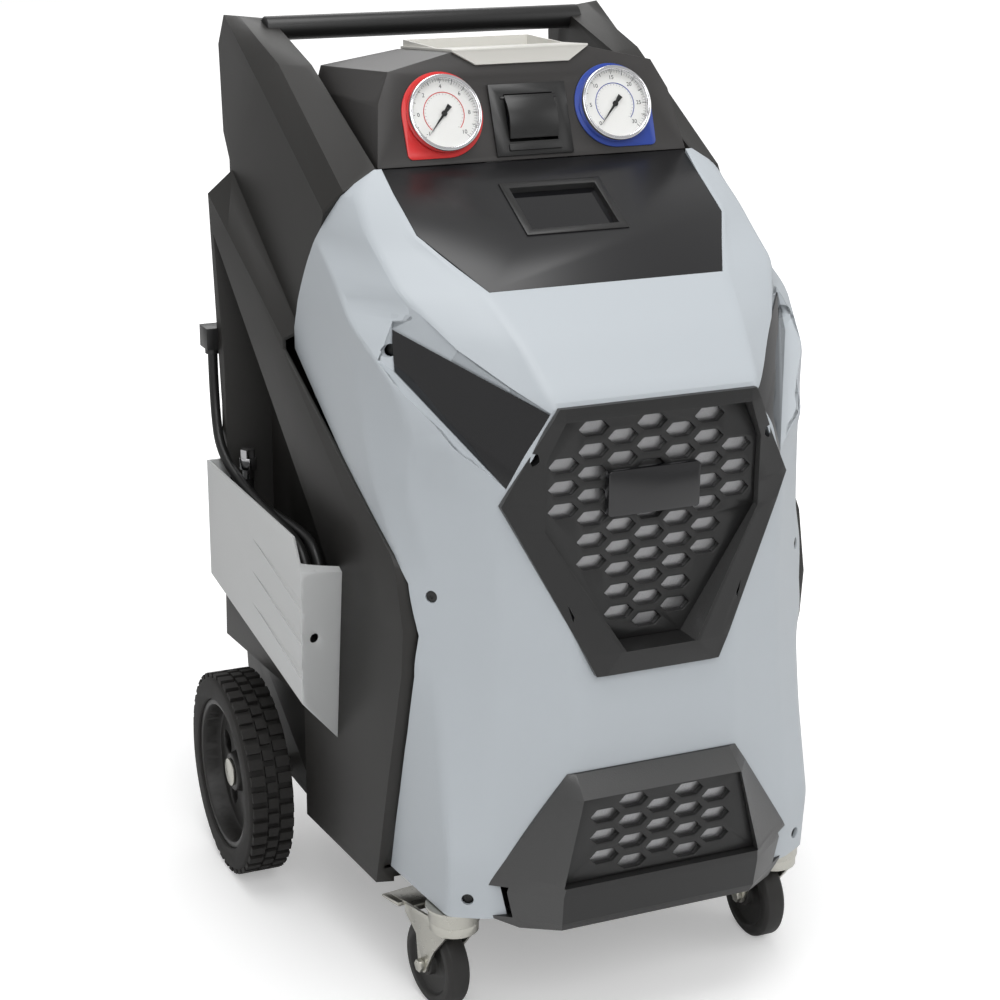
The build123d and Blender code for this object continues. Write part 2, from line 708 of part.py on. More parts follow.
with BuildPart() as console_panel:
    with BuildSketch(lower_plane):
        with BuildLine():
            Polyline(*mirrored([(x - seam_gap, y + (seam_gap if index else -0.3))
                                for index, (x, y) in enumerate(console_half)]), close=True)
        make_face()
        with Locations((0, -screen_down)):
            Rectangle(*screen_hole, mode=Mode.SUBTRACT)
    extrude(amount=-panel_thick)
save(console_panel.part, "console_panel")

# White storage tray on top, with a lip that drops over the gauge panel
store_wall = 2.5
lip_thick = 2.5
with BuildPart() as top_tray:
    with BuildSketch(upper_plane):
        with BuildLine():
            Polyline(*mirrored([lip_foot, (80.6, up_panel(991.0))]), close=True)
        make_face()
    extrude(amount=lip_thick)
    with BuildSketch(Plane.YZ.offset(-80.6)):
        with BuildLine():
            Polyline((29.6, 991.0), (27.2, 992.1), (27.6, 994.0), (console_rear_y, 983.0),
                     (console_rear_y, 980.3), close=True)
        make_face()
    extrude(amount=161.2)
    with Locations((0, (store_front_y + console_rear_y) / 2, store_floor_z + 26)):
        Box(2 * store_half - 2 * seam_gap, console_rear_y - store_front_y - 2 * seam_gap, 52)
    with Locations((0, (store_front_y + console_rear_y) / 2, store_floor_z + 60 + store_wall)):
        Box(2 * store_half - 2 * seam_gap - 2 * store_wall,
            console_rear_y - store_front_y - 2 * seam_gap - 2 * store_wall, 120, mode=Mode.SUBTRACT)
    add(console_hood.part, mode=Mode.SUBTRACT)
save(top_tray.part, "top_tray")

# Gauges: plate, can with its ring, dial, needle and lens
ring_front = gauge_plate_thick + gauge_stand
dial_back = gauge_plate_thick + 3.0
dial_thick = 0.8
needle_gap = 1.2
needle_thick = 1.0
lens_thick = 1.6
lens_inset = 0.8
spindle_radius = 1.2
needle_hub_radius = 3.2
plate_tip = 57.0
plate_tip_radius = 6.0

for side, name in ((-1, "left"), (1, "right")):
    face = gauge_plane(side)
    tip = (side * plate_tip * 0.70, -plate_tip * 0.71)
    with BuildPart() as gauge_plate:
        with BuildSketch(face) as outline:
            Circle(gauge_ring_radius + gauge_plate_margin)
            with Locations(tip):
                Circle(plate_tip_radius)
            make_hull()
            Circle(gauge_can_radius + slip_gap, mode=Mode.SUBTRACT)
        extrude(amount=gauge_plate_thick)
    save(gauge_plate.part, f"gauge_plate_{name}")

    with BuildPart() as gauge_case:
        with BuildSketch(face.offset(-gauge_can_depth)):
            Circle(gauge_can_radius)
        extrude(amount=gauge_can_depth + gauge_plate_thick)
        with BuildSketch(face.offset(gauge_plate_thick)):
            Circle(gauge_ring_radius)
        extrude(amount=gauge_stand)
        with BuildSketch(face.offset(dial_back)):
            Circle(gauge_dial_radius + slip_gap)
        extrude(amount=gauge_stand, mode=Mode.SUBTRACT)
        with BuildSketch(face.offset(dial_back - 4.0)):
            Circle(spindle_radius + running_gap)
        extrude(amount=8.0, mode=Mode.SUBTRACT)
    save(gauge_case.part, f"gauge_case_{name}")

    with BuildPart() as gauge_dial:
        with BuildSketch(face.offset(dial_back)):
            Circle(gauge_dial_radius)
            Circle(spindle_radius + running_gap, mode=Mode.SUBTRACT)
        extrude(amount=dial_thick)
    save(gauge_dial.part, f"gauge_dial_{name}")

    needle_angle = math.radians(needle_rest_deg)
    along = (math.cos(needle_angle), math.sin(needle_angle))
    wide = (-along[1], along[0])
    with BuildPart() as gauge_needle:
        with BuildSketch(face.offset(dial_back + dial_thick + needle_gap)):
            Circle(needle_hub_radius)
            with BuildLine():
                Polyline((wide[0] * 1.4, wide[1] * 1.4),
                         (along[0] * needle_length, along[1] * needle_length),
                         (-wide[0] * 1.4, -wide[1] * 1.4),
                         (-along[0] * 11 - wide[0] * 2.8, -along[1] * 11 - wide[1] * 2.8),
                         (-along[0] * 11 + wide[0] * 2.8, -along[1] * 11 + wide[1] * 2.8), close=True)
            make_face()
        extrude(amount=needle_thick)
        with BuildSketch(face.offset(dial_back - 3.0)):
            Circle(spindle_radius)
        extrude(amount=dial_thick + needle_gap + 3.5)
    save(gauge_needle.part, f"gauge_needle_{name}")

with BuildPart() as gauge_lenses:
    for side in (-1, 1):
        with BuildSketch(gauge_plane(side).offset(ring_front - lens_inset - lens_thick)):
            Circle(gauge_dial_radius)
        extrude(amount=lens_thick)
save(gauge_lenses.part, "gauge_lenses")

# Panel printer with a curved lid that hinges at its top edge
lid_half = 29.0
lid_top = 24.0
lid_foot = -21.0
lid_pin_radius = 1.8
lid_thick = 2.2
well_depth = 30.0


def printer_profile(points, half_width):
    """A prism across the printer; the outline is (up the panel, out of the panel)."""
    start = printer_plane.from_local_coords((-half_width, 0, 0))
    side_plane = Plane(origin=start, x_dir=printer_plane.y_dir, z_dir=(1, 0, 0))
    flip = 1 if side_plane.y_dir.dot(printer_plane.z_dir) > 0 else -1
    with BuildPart() as prism:
        with BuildSketch(side_plane):
            with BuildLine():
                Polyline(*[(up, flip * out) for up, out in points], close=True)
            make_face()
        extrude(amount=2 * half_width)
    return prism.part


lid_arc = [(lid_top + (lid_foot - lid_top) * step / 8,
            2.0 + printer_lid_bulge * math.sin(math.pi * (0.12 + 0.76 * step / 8))) for step in range(9)]
lid_inner = [(up, out - lid_thick) for up, out in reversed(lid_arc)]
with BuildPart() as printer_lid:
    add(printer_profile(lid_arc + lid_inner, lid_half - seam_gap))
    add(printer_profile([(lid_top - 3, 0), (lid_top + 2.4, 0), (lid_top + 2.4, 4.5), (lid_top - 3, 5.5)],
                        lid_half - seam_gap))
    lid_axis = printer_plane.from_local_coords((-lid_half - 4.0, lid_top, 2.2))
    with BuildSketch(Plane(origin=lid_axis, x_dir=(0, 1, 0), z_dir=(1, 0, 0))):
        Circle(lid_pin_radius)
    extrude(amount=2 * lid_half + 8.0)
save(printer_lid.part, "printer_lid")

with BuildPart() as printer_housing:
    with BuildSketch(printer_plane):
        Rectangle(printer_width, printer_height)
    extrude(amount=3.0)
    with BuildSketch(printer_plane.offset(-printer_depth)):
        Rectangle(printer_hole[0] - 2 * slip_gap, printer_hole[1] - 2 * slip_gap)
    extrude(amount=printer_depth)
    with BuildSketch(printer_plane.offset(-well_depth)):
        with Locations((0, 2.0)):
            Rectangle(2 * lid_half, 52.0)
    extrude(amount=well_depth + 5.0, mode=Mode.SUBTRACT)
    with BuildSketch(Plane(origin=lid_axis, x_dir=(0, 1, 0), z_dir=(1, 0, 0))):
        Circle(lid_pin_radius + running_gap)
    extrude(amount=2 * lid_half + 8.0, mode=Mode.SUBTRACT)
    with BuildSketch(printer_plane.offset(3.0)):
        with Locations((0, -30.5)):
            Rectangle(2 * lid_half + 4, 7.0)
    extrude(amount=3.0)
save(printer_housing.part, "printer_housing")

# Touch screen: a frame set in the lower panel, and its glass
glass_thick = 2.0
with BuildPart() as screen_bezel:
    with BuildSketch(screen_plane):
        Rectangle(screen_width, screen_height)
        Rectangle(screen_width - 2 * screen_frame, screen_height - 2 * screen_frame, mode=Mode.SUBTRACT)
    extrude(amount=1.5)
    with BuildSketch(screen_plane.offset(-12.0)):
        Rectangle(screen_hole[0] - 2 * slip_gap, screen_hole[1] - 2 * slip_gap)
        Rectangle(screen_width - 2 * screen_frame, screen_height - 2 * screen_frame, mode=Mode.SUBTRACT)
    extrude(amount=12.0)
    with BuildSketch(screen_plane.offset(-15.0)):
        Rectangle(screen_hole[0] - 2 * slip_gap, screen_hole[1] - 2 * slip_gap)
    extrude(amount=3.0)
save(screen_bezel.part, "screen_bezel")
with BuildPart() as screen_glass:
    with BuildSketch(screen_plane.offset(-6.0 - glass_thick)):
        Rectangle(screen_width - 2 * screen_frame, screen_height - 2 * screen_frame)
    extrude(amount=glass_thick)
save(screen_glass.part, "screen_glass")

# Upper grille: frame over the cover's opening, honeycomb insert, mesh and bare plaque
frame_levels = [
    (404.0, [(70.5, -327), (60, -328)]),
    (429.0, [(83.2, -324), (45, -332)]),
    (558.0, [(148.7, -298), (121, -306)]),
    (586.0, [(163.0, -291), (121, -306)]),
    (632.0, [(138.9, -298), (121, -306)]),
    (672.0, [(117.9, -310), (104, -314)]),
    (686.0, [(110.5, -312), (104, -313)]),
]
frame_back_y = -272.0
grille_outline = mirrored([grille_open_top, grille_open_mid, grille_open_low, grille_open_foot])


def frame_form():
    """The solid outer form of the upper grille's frame."""
    with BuildPart() as form:
        for height, ((side_x, side_y), (front_x, front_y_here)) in frame_levels:
            with BuildSketch(Plane.XY.offset(height)):
                with BuildLine():
                    Polyline((side_x, frame_back_y), (side_x, side_y), (front_x, front_y_here),
                             (-front_x, front_y_here), (-side_x, side_y), (-side_x, frame_back_y),
                             close=True)
                make_face()
        loft(ruled=True)
    return form.part


with BuildPart() as frame_skin:
    add(frame_form())
    add(front_solid, mode=Mode.SUBTRACT)
with BuildPart() as upper_grille_frame:
    add(frame_form())
    add(facing(mirrored(toward(grille_half, grille_centre, 12.0 + seam_gap)), -345.0, 90.0),
        mode=Mode.INTERSECT)
    add(frame_skin.part)
    add(facing(grille_outline, -345.0, 90.0), mode=Mode.SUBTRACT)
    add(front_fascia.part, mode=Mode.SUBTRACT)
save(upper_grille_frame.part, "upper_grille_frame")


def honeycomb(outline, centre_z, columns, rows):
    """Stretched hexagon holes in staggered columns, kept inside an outline."""
    cells = []
    for column in range(-columns, columns + 1):
        for row in range(-rows, rows + 1):
            shift = grille_row_pitch / 2 if column % 2 else 0.0
            cells.append((column * grille_column_pitch, centre_z + row * grille_row_pitch + shift))
    return [cell for cell in cells if clear_inside(cell, outline)]


def clear_inside(cell, outline):
    """Whether a whole cell lies inside a convex outline, with an edge left round it."""
    corners = [(cell[0] + dx, cell[1] + dz) for dx in (-grille_cell_width / 2, grille_cell_width / 2)
               for dz in (-grille_cell_height / 2, grille_cell_height / 2)]
    for start, end in zip(outline, outline[1:] + outline[:1]):
        run = (end[0] - start[0], end[1] - start[1])
        reach = math.hypot(*run)
        for x, z in corners:
            away = ((x - start[0]) * run[1] - (z - start[1]) * run[0]) / reach
            if away < grille_edge - 5.0:
                return False
    return True


def hexagon_cell():
    """Corners of one stretched hexagon about its centre."""
    half_w, half_h = grille_cell_width / 2, grille_cell_height / 2
    return [(half_w, 0), (half_w - half_h, half_h), (half_h - half_w, half_h), (-half_w, 0),
            (half_h - half_w, -half_h), (half_w - half_h, -half_h)]


def grille_insert(outline, front, centre_z, columns, rows):
    """A plate along Y with staggered hexagon holes."""
    with BuildPart() as plate:
        with BuildSketch(Plane.XZ.offset(-front)):
            with BuildLine():
                Polyline(*outline, close=True)
            make_face()
            with Locations(*honeycomb(outline, centre_z, columns, rows)):
                Polygon(*hexagon_cell(), mode=Mode.SUBTRACT)
        extrude(amount=-grille_insert_thick)
    return plate.part


insert_outline = mirrored(toward([grille_open_top, grille_open_mid, grille_open_low, grille_open_foot],
                                 grille_centre, seam_gap))
upper_insert = grille_insert(insert_outline, grille_insert_y, 564.5, 3, 6)
save(upper_insert, "upper_grille_insert")

mesh_back = grille_insert_y + grille_insert_thick
with BuildPart() as badge_plaque:
    with BuildSketch(Plane.XZ.offset(-grille_insert_y)):
        with Locations((0, plaque_z)):
            RectangleRounded(plaque_width, plaque_height, 4)
    extrude(amount=9.0)
save(badge_plaque.part, "badge_plaque")

# Lower trim round the bottom grille: flat at the fascia, standing out to a raised opening
trim_levels = [
    (130.0, [(112, -341), (150, -318), (150, -275)]),
    (140.0, [(114, -346), (178, -299), (178, -275)]),
    (173.0, [(115, -351), (181, -302), (181, -275)]),
    (185.0, [(113, front_y), (175, -302), (175, -275)]),
    (278.5, [(92.2, -347), (112, -320.5), (112, -275)]),
    (298.0, [(90.0, -323), (99, -320.5), (99, -275)]),
]
trim_opening = mirrored([trim_open_top, trim_open_foot])
lower_insert_y = -343.0

with BuildPart() as trim_plug:
    add(stacked(trim_levels))
    add(facing(mirrored(toward([trim_top, trim_side], trim_centre, 14.0 + seam_gap) + [(149.0, 131.0)]),
               -360.0, 70.0), mode=Mode.INTERSECT)
with BuildPart() as lower_trim:
    add(stacked(trim_levels))
    add(front_solid, mode=Mode.SUBTRACT)
    add(trim_plug.part)
    add(facing(trim_opening, -360.0, 100.0), mode=Mode.SUBTRACT)
    with Locations((0, -285.0, 160.0)):
        Box(400, 60, 36, mode=Mode.SUBTRACT)
    add(base_tray.part, mode=Mode.SUBTRACT)
    add(front_fascia.part, mode=Mode.SUBTRACT)
save(lower_trim.part, "lower_trim")

lower_outline = mirrored([(trim_open_top[0] - seam_gap, trim_open_top[1] - seam_gap),
                          (trim_open_foot[0] - seam_gap, trim_open_foot[1] + seam_gap)])
lower_insert = grille_insert(lower_outline, lower_insert_y, 231.5, 4, 3)
save(lower_insert, "lower_grille_insert")

with BuildPart() as grille_mesh:
    add(facing(insert_outline, mesh_back, mesh_thick))
    add(facing(lower_outline, lower_insert_y + grille_insert_thick, mesh_thick))
save(grille_mesh.part, "grille_mesh")

# Plain inlays in the shoulder recesses
with BuildPart() as shoulder_inlay:
    with BuildSketch(inlay_plane.offset(-inlay_thick)):
        with BuildLine():
            Polyline(*inlay_outline, close=True)
        make_face()
        offset(amount=-seam_gap, mode=Mode.REPLACE)
    extrude(amount=inlay_thick)
    add(front_fascia.part, mode=Mode.SUBTRACT)
with BuildPart() as shoulder_inlays:
    add(shoulder_inlay.part)
    add(other_side(shoulder_inlay.part))
save(shoulder_inlays.part, "shoulder_inlays")

# Hose bins on the flanks, open at the top and towards the recess
bin_rear_y = 258.0
bin_front_y = -77.0
bin_base_x = 246.0
bin_outer_side = [(bin_rear_y, 499), (-60, 501), (bin_front_y - 4, 468), (bin_front_y, 314),
                  (bin_rear_y, 355)]
bin_inner_side = [(bin_rear_y, 499), (-3, 491), (-67, 456), (-45, 247), (bin_rear_y, 322)]
bin_hole_radius = 5.5
groove_depth = 1.2
groove_width = 9.0
groove_lines = [((84, 454), (-77, 431)), ((88, 413), (-77, 391)), ((91, 373.5), (-77, 350))]
flank_solid = cabinet_side(0)


def bin_space(points, wall):
    """The side outline of the space in a bin, with its top left open."""
    (y0, z0), (y1, z1), (y2, z2), (y3, z3), (y4, z4) = points
    return [(y0 - wall, z0 + 20), (y1 + wall, z1 + 20), (y2 + wall, z2 - 2), (y3 + wall, z3 + wall),
            (y4 - wall, z4 + wall)]


with BuildPart() as hose_bin:
    add(spread([(bin_base_x, bin_inner_side), (bin_outer_x, bin_outer_side)]))
    add(spread([(bin_base_x - 4, bin_space(bin_inner_side, bin_wall)),
                (bin_outer_x - bin_wall, bin_space(bin_outer_side, bin_wall))]), mode=Mode.SUBTRACT)
    add(flank_solid, mode=Mode.SUBTRACT)
    with BuildSketch(Plane.XZ.offset(-bin_front_y + 10)):
        with Locations((285.0, 387.0)):
            Circle(bin_hole_radius)
    extrude(amount=-25.0, mode=Mode.SUBTRACT)
    for (rear_y, rear_z), (fore_y, fore_z) in groove_lines:
        with BuildSketch(Plane.YZ.offset(bin_outer_x - groove_depth)):
            with BuildLine():
                Polyline((rear_y, rear_z), (fore_y - 5, fore_z + groove_width / 2),
                         (fore_y - 5, fore_z - groove_width), close=True)
            make_face()
        extrude(amount=groove_depth + 2, mode=Mode.SUBTRACT)
save(hose_bin.part, "hose_bin_right")
save(other_side(hose_bin.part), "hose_bin_left")

# Service hose: port behind the flank, free run, coil in the bin and its coupler
port_x = -278.0
port_y = 298.0
port_z = 640.0
port_block = (36.0, 22.0, 26.0)
port_block_x = -272.0
spigot_radius = 9.0
spigot_length = 8.0
hose_start = (port_x, port_y, port_z - port_block[2] / 2 - spigot_length)
hose_route = [hose_start, (port_x, port_y, 553.0), (-286.0, 252.0, 506.0), (-269.0, 200.0, 466.0)]
coil_x = -266.0
coil_width = 30.0
coil_bottom_z = 352.0
coil_height = 126.0
coil_front_y = -36.0
coil_rear_y = 240.0
coil_section = 26.0
hose_end_x = -258.0
hose_end_y = coil_rear_y - hose_radius
hose_end_z = coil_bottom_z + coil_height

with BuildPart() as hose_port:
    with Locations((port_block_x, port_y - 4, port_z)):
        Box(port_block[0], port_block[1] + 8, port_block[2])
    add(other_side(flank_solid), mode=Mode.SUBTRACT)
    with BuildSketch(Plane.XY.offset(hose_start[2])):
        with Locations((port_x, port_y)):
            Circle(spigot_radius)
    extrude(amount=spigot_length + 1)
save(hose_port.part, "hose_port")

coil_mid_y = (coil_front_y + coil_rear_y) / 2
coil_mid_z = coil_bottom_z + coil_height / 2
with BuildPart() as hose_coil:
    with BuildSketch(Plane.YZ.offset(coil_x - coil_width / 2)):
        with Locations((coil_mid_y, coil_mid_z)):
            SlotOverall(coil_rear_y - coil_front_y, coil_height)
            SlotOverall(coil_rear_y - coil_front_y - 2 * coil_section, coil_height - 2 * coil_section,
                        mode=Mode.SUBTRACT)
    extrude(amount=coil_width)
    fillet(hose_coil.edges(), 6.0)
save(hose_coil.part, "hose_coil")


def run_lengths(points):
    """Length of each straight run of a route."""
    return [(Vector(*b) - Vector(*a)).length for a, b in zip(points, points[1:])]


def bend_radii(points):
    """Bend radius at each inner point, so that neighbouring arcs leave a straight between them."""
    radii = []
    runs = run_lengths(points)
    for index in range(1, len(points) - 1):
        before = Vector(*points[index]) - Vector(*points[index - 1])
        after = Vector(*points[index + 1]) - Vector(*points[index])
        half_turn = math.radians(before.get_angle(after)) / 2
        radii.append(0.45 * min(runs[index - 1], runs[index]) / math.tan(half_turn))
    return radii


hose_radii = bend_radii(hose_route)
print("hose bend radii", [round(radius) for radius in hose_radii])
with BuildPart() as service_hose:
    with BuildLine():
        FilletPolyline(*hose_route, radius=min(hose_radii))
    with BuildSketch(Plane(origin=hose_route[0], z_dir=Vector(*hose_route[1]) - Vector(*hose_route[0]))):
        Circle(hose_radius)
    sweep()
    with BuildSketch(Plane.XY.offset(coil_mid_z)):
        with Locations((hose_end_x, hose_end_y)):
            Circle(hose_radius)
    extrude(amount=hose_end_z - coil_mid_z)
    add(hose_coil.part, mode=Mode.SUBTRACT)
save(service_hose.part, "service_hose")

# Coupler on the upright end of the hose: ferrule, knurled sleeve and hexagon
coupler_levels = [(0.0, 7.5, 12.0), (12.0, 10.5, 14.0)]
coupler_hexagon = 9.0
coupler_hexagon_foot = 26.0
coupler_hexagon_height = 10.0
with BuildPart() as hose_connector:
    for above, radius, height in coupler_levels:
        with BuildSketch(Plane.XY.offset(hose_end_z + above)):
            with Locations((hose_end_x, hose_end_y)):
                Circle(radius)
        extrude(amount=height)
    with BuildSketch(Plane.XY.offset(hose_end_z + coupler_hexagon_foot)):
        with Locations((hose_end_x, hose_end_y)):
            RegularPolygon(coupler_hexagon, 6)
    extrude(amount=coupler_hexagon_height)
save(hose_connector.part, "hose_connector")

# Screws that hold the front cover
with BuildPart() as cover_screws:
    for side in (-1, 1):
        for place in screw_places:
            with BuildSketch(outward_plane(place, side).offset(-screw_seat_depth)):
                Circle(screw_head_radius)
            extrude(amount=2.0)
            with BuildSketch(outward_plane(place, side).offset(-screw_seat_depth + 0.8)):
                RegularPolygon(2.4, 6)
            extrude(amount=2.0, mode=Mode.SUBTRACT)
save(cover_screws.part, "cover_screws")

# Rear panel, one folded sheet: back of the console, deck under the handle, tall rear sheet
rear_sheet_y = rear_face_y - 8.0
rear_sheet_thick = 2.0
rear_half = tower_inner_x - seam_gap
vent_rows = 9
vent_pitch = 14.0
inlet_x = -120.0
inlet_z = 205.0
inlet_width = 50.0
inlet_height = 62.0
with BuildPart() as rear_panel:
    with BuildSketch(Plane.XZ.offset(-console_rear_y)):
        with BuildLine():
            Polyline(*mirrored([(rear_half, rear_deck_z), (rear_half, 881), (183.8, 939), (175.8, 966),
                                (83.9, 979.8)]), close=True)
        make_face()
    extrude(amount=-rear_sheet_thick)
    with Locations((0, (console_rear_y + rear_sheet_y) / 2 + rear_sheet_thick / 2,
                    rear_deck_z + rear_sheet_thick / 2)):
        Box(2 * rear_half, rear_sheet_y - console_rear_y + rear_sheet_thick, rear_sheet_thick)
    with BuildSketch(Plane.XZ.offset(-rear_sheet_y)):
        with Locations((0, (tray_bottom + rear_deck_z) / 2)):
            Rectangle(2 * rear_half, rear_deck_z - tray_bottom)
        for low_z in (330.0, 600.0):
            with Locations((0, low_z + vent_pitch * (vent_rows - 1) / 2)):
                with GridLocations(130.0, vent_pitch, 2, vent_rows):
                    SlotOverall(110.0, 6.0, mode=Mode.SUBTRACT)
        with Locations((inlet_x, inlet_z)):
            Rectangle(inlet_width, inlet_height, mode=Mode.SUBTRACT)
    extrude(amount=-rear_sheet_thick)
save(rear_panel.part, "rear_panel")

# Power inlet with a rocker switch above it
inlet_flange = 4.0
rocker_width = 22.0
rocker_height = 24.0
rocker_z = inlet_z + 15.0
with BuildPart() as power_inlet:
    with BuildSketch(Plane.XZ.offset(-(rear_sheet_y - 22))):
        with Locations((inlet_x, inlet_z)):
            Rectangle(inlet_width - 2 * slip_gap, inlet_height - 2 * slip_gap)
    extrude(amount=-(22 + rear_sheet_thick))
    with BuildSketch(Plane.XZ.offset(-(rear_sheet_y + rear_sheet_thick))):
        with Locations((inlet_x, inlet_z)):
            Rectangle(inlet_width + 2 * inlet_flange, inlet_height + 2 * inlet_flange)
    extrude(amount=-3.0)
    with BuildSketch(Plane.XZ.offset(-(rear_sheet_y - 14))):
        with Locations((inlet_x, inlet_z - 15.0)):
            Rectangle(28.0, 20.0)
        with Locations((inlet_x, rocker_z)):
            Rectangle(rocker_width + 2, rocker_height + 6)
    extrude(amount=-40.0, mode=Mode.SUBTRACT)
    with BuildSketch(Plane.XZ.offset(-(rear_sheet_y - 15))):
        with Locations((inlet_x - 8, inlet_z - 15), (inlet_x, inlet_z - 12), (inlet_x + 8, inlet_z - 15)):
            Rectangle(2.0, 5.0)
    extrude(amount=-13.0)
    with BuildSketch(Plane.YZ.offset(inlet_x - rocker_width / 2 - 3)):
        with Locations((rear_sheet_y - 2, rocker_z)):
            Circle(1.5)
    extrude(amount=rocker_width + 6)
with BuildPart() as power_switch:
    with BuildSketch(Plane.YZ.offset(inlet_x - rocker_width / 2)):
        with BuildLine():
            Polyline((rear_sheet_y - 7, rocker_z - 5), (rear_sheet_y + 3, rocker_z - rocker_height / 2),
                     (rear_sheet_y + 7, rocker_z - rocker_height / 2), (rear_sheet_y + 5, rocker_z),
                     (rear_sheet_y + 7, rocker_z + rocker_height / 2),
                     (rear_sheet_y + 3, rocker_z + rocker_height / 2), (rear_sheet_y - 7, rocker_z + 5),
                     close=True)
        make_face()
        with Locations((rear_sheet_y - 2, rocker_z)):
            Circle(1.5 + running_gap, mode=Mode.SUBTRACT)
    extrude(amount=rocker_width)
save(power_inlet.part, "power_inlet")
save(power_switch.part, "power_switch")

# Inner frame
post_size = 25.0
post_x = 168.0
post_front_y = -120.0
post_rear_y = 290.0
front_post_top = 700.0
rear_post_top = 868.0
with BuildPart() as inner_frame:
    for side in (-1, 1):
        with Locations((side * post_x, post_front_y, (tray_top + front_post_top) / 2)):
            Box(post_size, post_size, front_post_top - tray_top)
        with Locations((side * post_x, post_rear_y, (tray_top + rear_post_top) / 2)):
            Box(post_size, post_size, rear_post_top - tray_top)
        with Locations((side * post_x, (post_front_y + post_rear_y) / 2, front_post_top - post_size / 2)):
            Box(post_size, post_rear_y - post_front_y, post_size)
        with Locations((side * post_x, 165.0, rear_post_top - post_size / 2)):
            Box(post_size, 250.0, post_size)
    with Locations((0, post_front_y, front_post_top - post_size / 2)):
        Box(2 * post_x, post_size, post_size)
    with Locations((0, post_rear_y, rear_post_top - post_size / 2)):
        Box(2 * post_x, post_size, post_size)
save(inner_frame.part, "inner_frame")

# Refrigerant tank standing on its weighing platform
tank_y = 130.0
tank_radius = 104.0
tank_foot_z = 187.0
tank_height = 320.0
tank_wall = 4.0
with BuildPart() as scale_platform:
    with Locations((0, tank_y, (tray_top + tank_foot_z - 12) / 2)):
        Box(60, 130, tank_foot_z - 12 - tray_top)
    with Locations((0, tank_y, tank_foot_z - 6)):
        Box(2 * tank_radius + 16, 2 * tank_radius + 16, 12)
save(scale_platform.part, "scale_platform")
with BuildPart() as refrigerant_tank:
    with BuildSketch(Plane.XZ):
        with BuildLine():
            Polyline((0, 0), (70, 0), (74, 4), (tank_radius - 6, 14), (tank_radius, 34),
                     (tank_radius, tank_height - 60), (tank_radius - 10, tank_height - 36),
                     (tank_radius - 44, tank_height - 14), (28, tank_height - 8), (28, tank_height),
                     (0, tank_height), close=True)
        make_face()
    revolve(axis=Axis.Z)
    with BuildSketch(Plane.XZ):
        with BuildLine():
            Polyline((0, 14), (66, 14), (tank_radius - 10, 24), (tank_radius - tank_wall, 36),
                     (tank_radius - tank_wall, tank_height - 62), (tank_radius - 14, tank_height - 40),
                     (tank_radius - 48, tank_height - 20), (0, tank_height - 16), close=True)
        make_face()
    revolve(axis=Axis.Z, mode=Mode.SUBTRACT)
    with Locations((0, 0, tank_height + 14)):
        Box(30, 30, 28)
    with Locations((0, 0, tank_height)):
        Cylinder(3.0, 80.0, mode=Mode.SUBTRACT)
tank = refrigerant_tank.part.moved(Location((0, tank_y, tank_foot_z)))
save(tank, "refrigerant_tank")

# Vacuum pump, compressor and valve block
pump_x = -85.0
pump_y = -115.0
pump_motor_radius = 50.0
with BuildPart() as vacuum_pump:
    with Locations((pump_x, pump_y, tray_top + 4)):
        Box(90, 150, 8)
    with Locations((pump_x, pump_y - 35, tray_top + 55)):
        Box(76, 70, 96)
    with BuildSketch(Plane.XZ.offset(-(pump_y - 1))):
        with Locations((pump_x, tray_top + 56)):
            Circle(pump_motor_radius)
    extrude(amount=-78)
    with Locations((pump_x, pump_y - 35, tray_top + 115)):
        Cylinder(14, 26)
save(vacuum_pump.part, "vacuum_pump")
with BuildPart() as compressor:
    with Locations((85, -110, tray_top + 4)):
        Box(110, 110, 8)
    with BuildSketch(Plane.XY.offset(tray_top + 7)):
        with Locations((85, -110)):
            Ellipse(52, 46)
    extrude(amount=138)
    fillet(compressor.faces().sort_by(Axis.Z)[-1].edges(), 18)
save(compressor.part, "compressor")
with BuildPart() as valve_block:
    with Locations((0, post_front_y, front_post_top + 22)):
        Box(140, 44, 44)
    for x in (-45, 0, 45):
        with Locations((x, post_front_y, front_post_top + 44 + 16)):
            Cylinder(13, 34)
save(valve_block.part, "valve_block")

# Condenser with its shroud, and the fan that turns on the shroud's pin
condenser_front_y = -266.0
condenser_depth = 24.0
condenser_half = 105.0
condenser_top = 430.0
shroud_depth = 30.0
fan_z = 300.0
fan_radius = 92.0
fan_hub_radius = 24.0
fan_pin_radius = 4.0
fan_blades = 6
core_rear_y = condenser_front_y + condenser_depth
with BuildPart() as condenser:
    with Locations((0, condenser_front_y + condenser_depth / 2, (tray_top + condenser_top) / 2)):
        Box(2 * condenser_half, condenser_depth, condenser_top - tray_top)
    with BuildSketch(Plane.XZ.offset(-core_rear_y + 1)):
        with Locations((0, fan_z)):
            Circle(fan_radius + 8)
            Circle(fan_radius + 5, mode=Mode.SUBTRACT)
    extrude(amount=-shroud_depth)
    with BuildSketch(Plane.XZ.offset(-core_rear_y + 1)):
        with Locations((0, fan_z)):
            Circle(fan_pin_radius)
    extrude(amount=-shroud_depth + 4)
with BuildPart() as cooling_fan:
    with BuildSketch(Plane.XY.offset(4)):
        Circle(fan_hub_radius)
    extrude(amount=18)
    for blade in range(fan_blades):
        with BuildSketch(Plane.XY.rotated((0, 0, blade * 360 / fan_blades)).offset(8)):
            with BuildLine():
                Polyline((-9, 20), (12, 20), (26, fan_radius - 8), (6, fan_radius - 3),
                         (-20, fan_radius - 10), close=True)
            make_face()
        extrude(amount=5)
    with BuildSketch(Plane.XY):
        Circle(fan_pin_radius + running_gap)
    extrude(amount=40, mode=Mode.SUBTRACT)
fan_place = Location(Plane(origin=(0, core_rear_y, fan_z), x_dir=(1, 0, 0), z_dir=(0, 1, 0)))
save(condenser.part, "condenser")
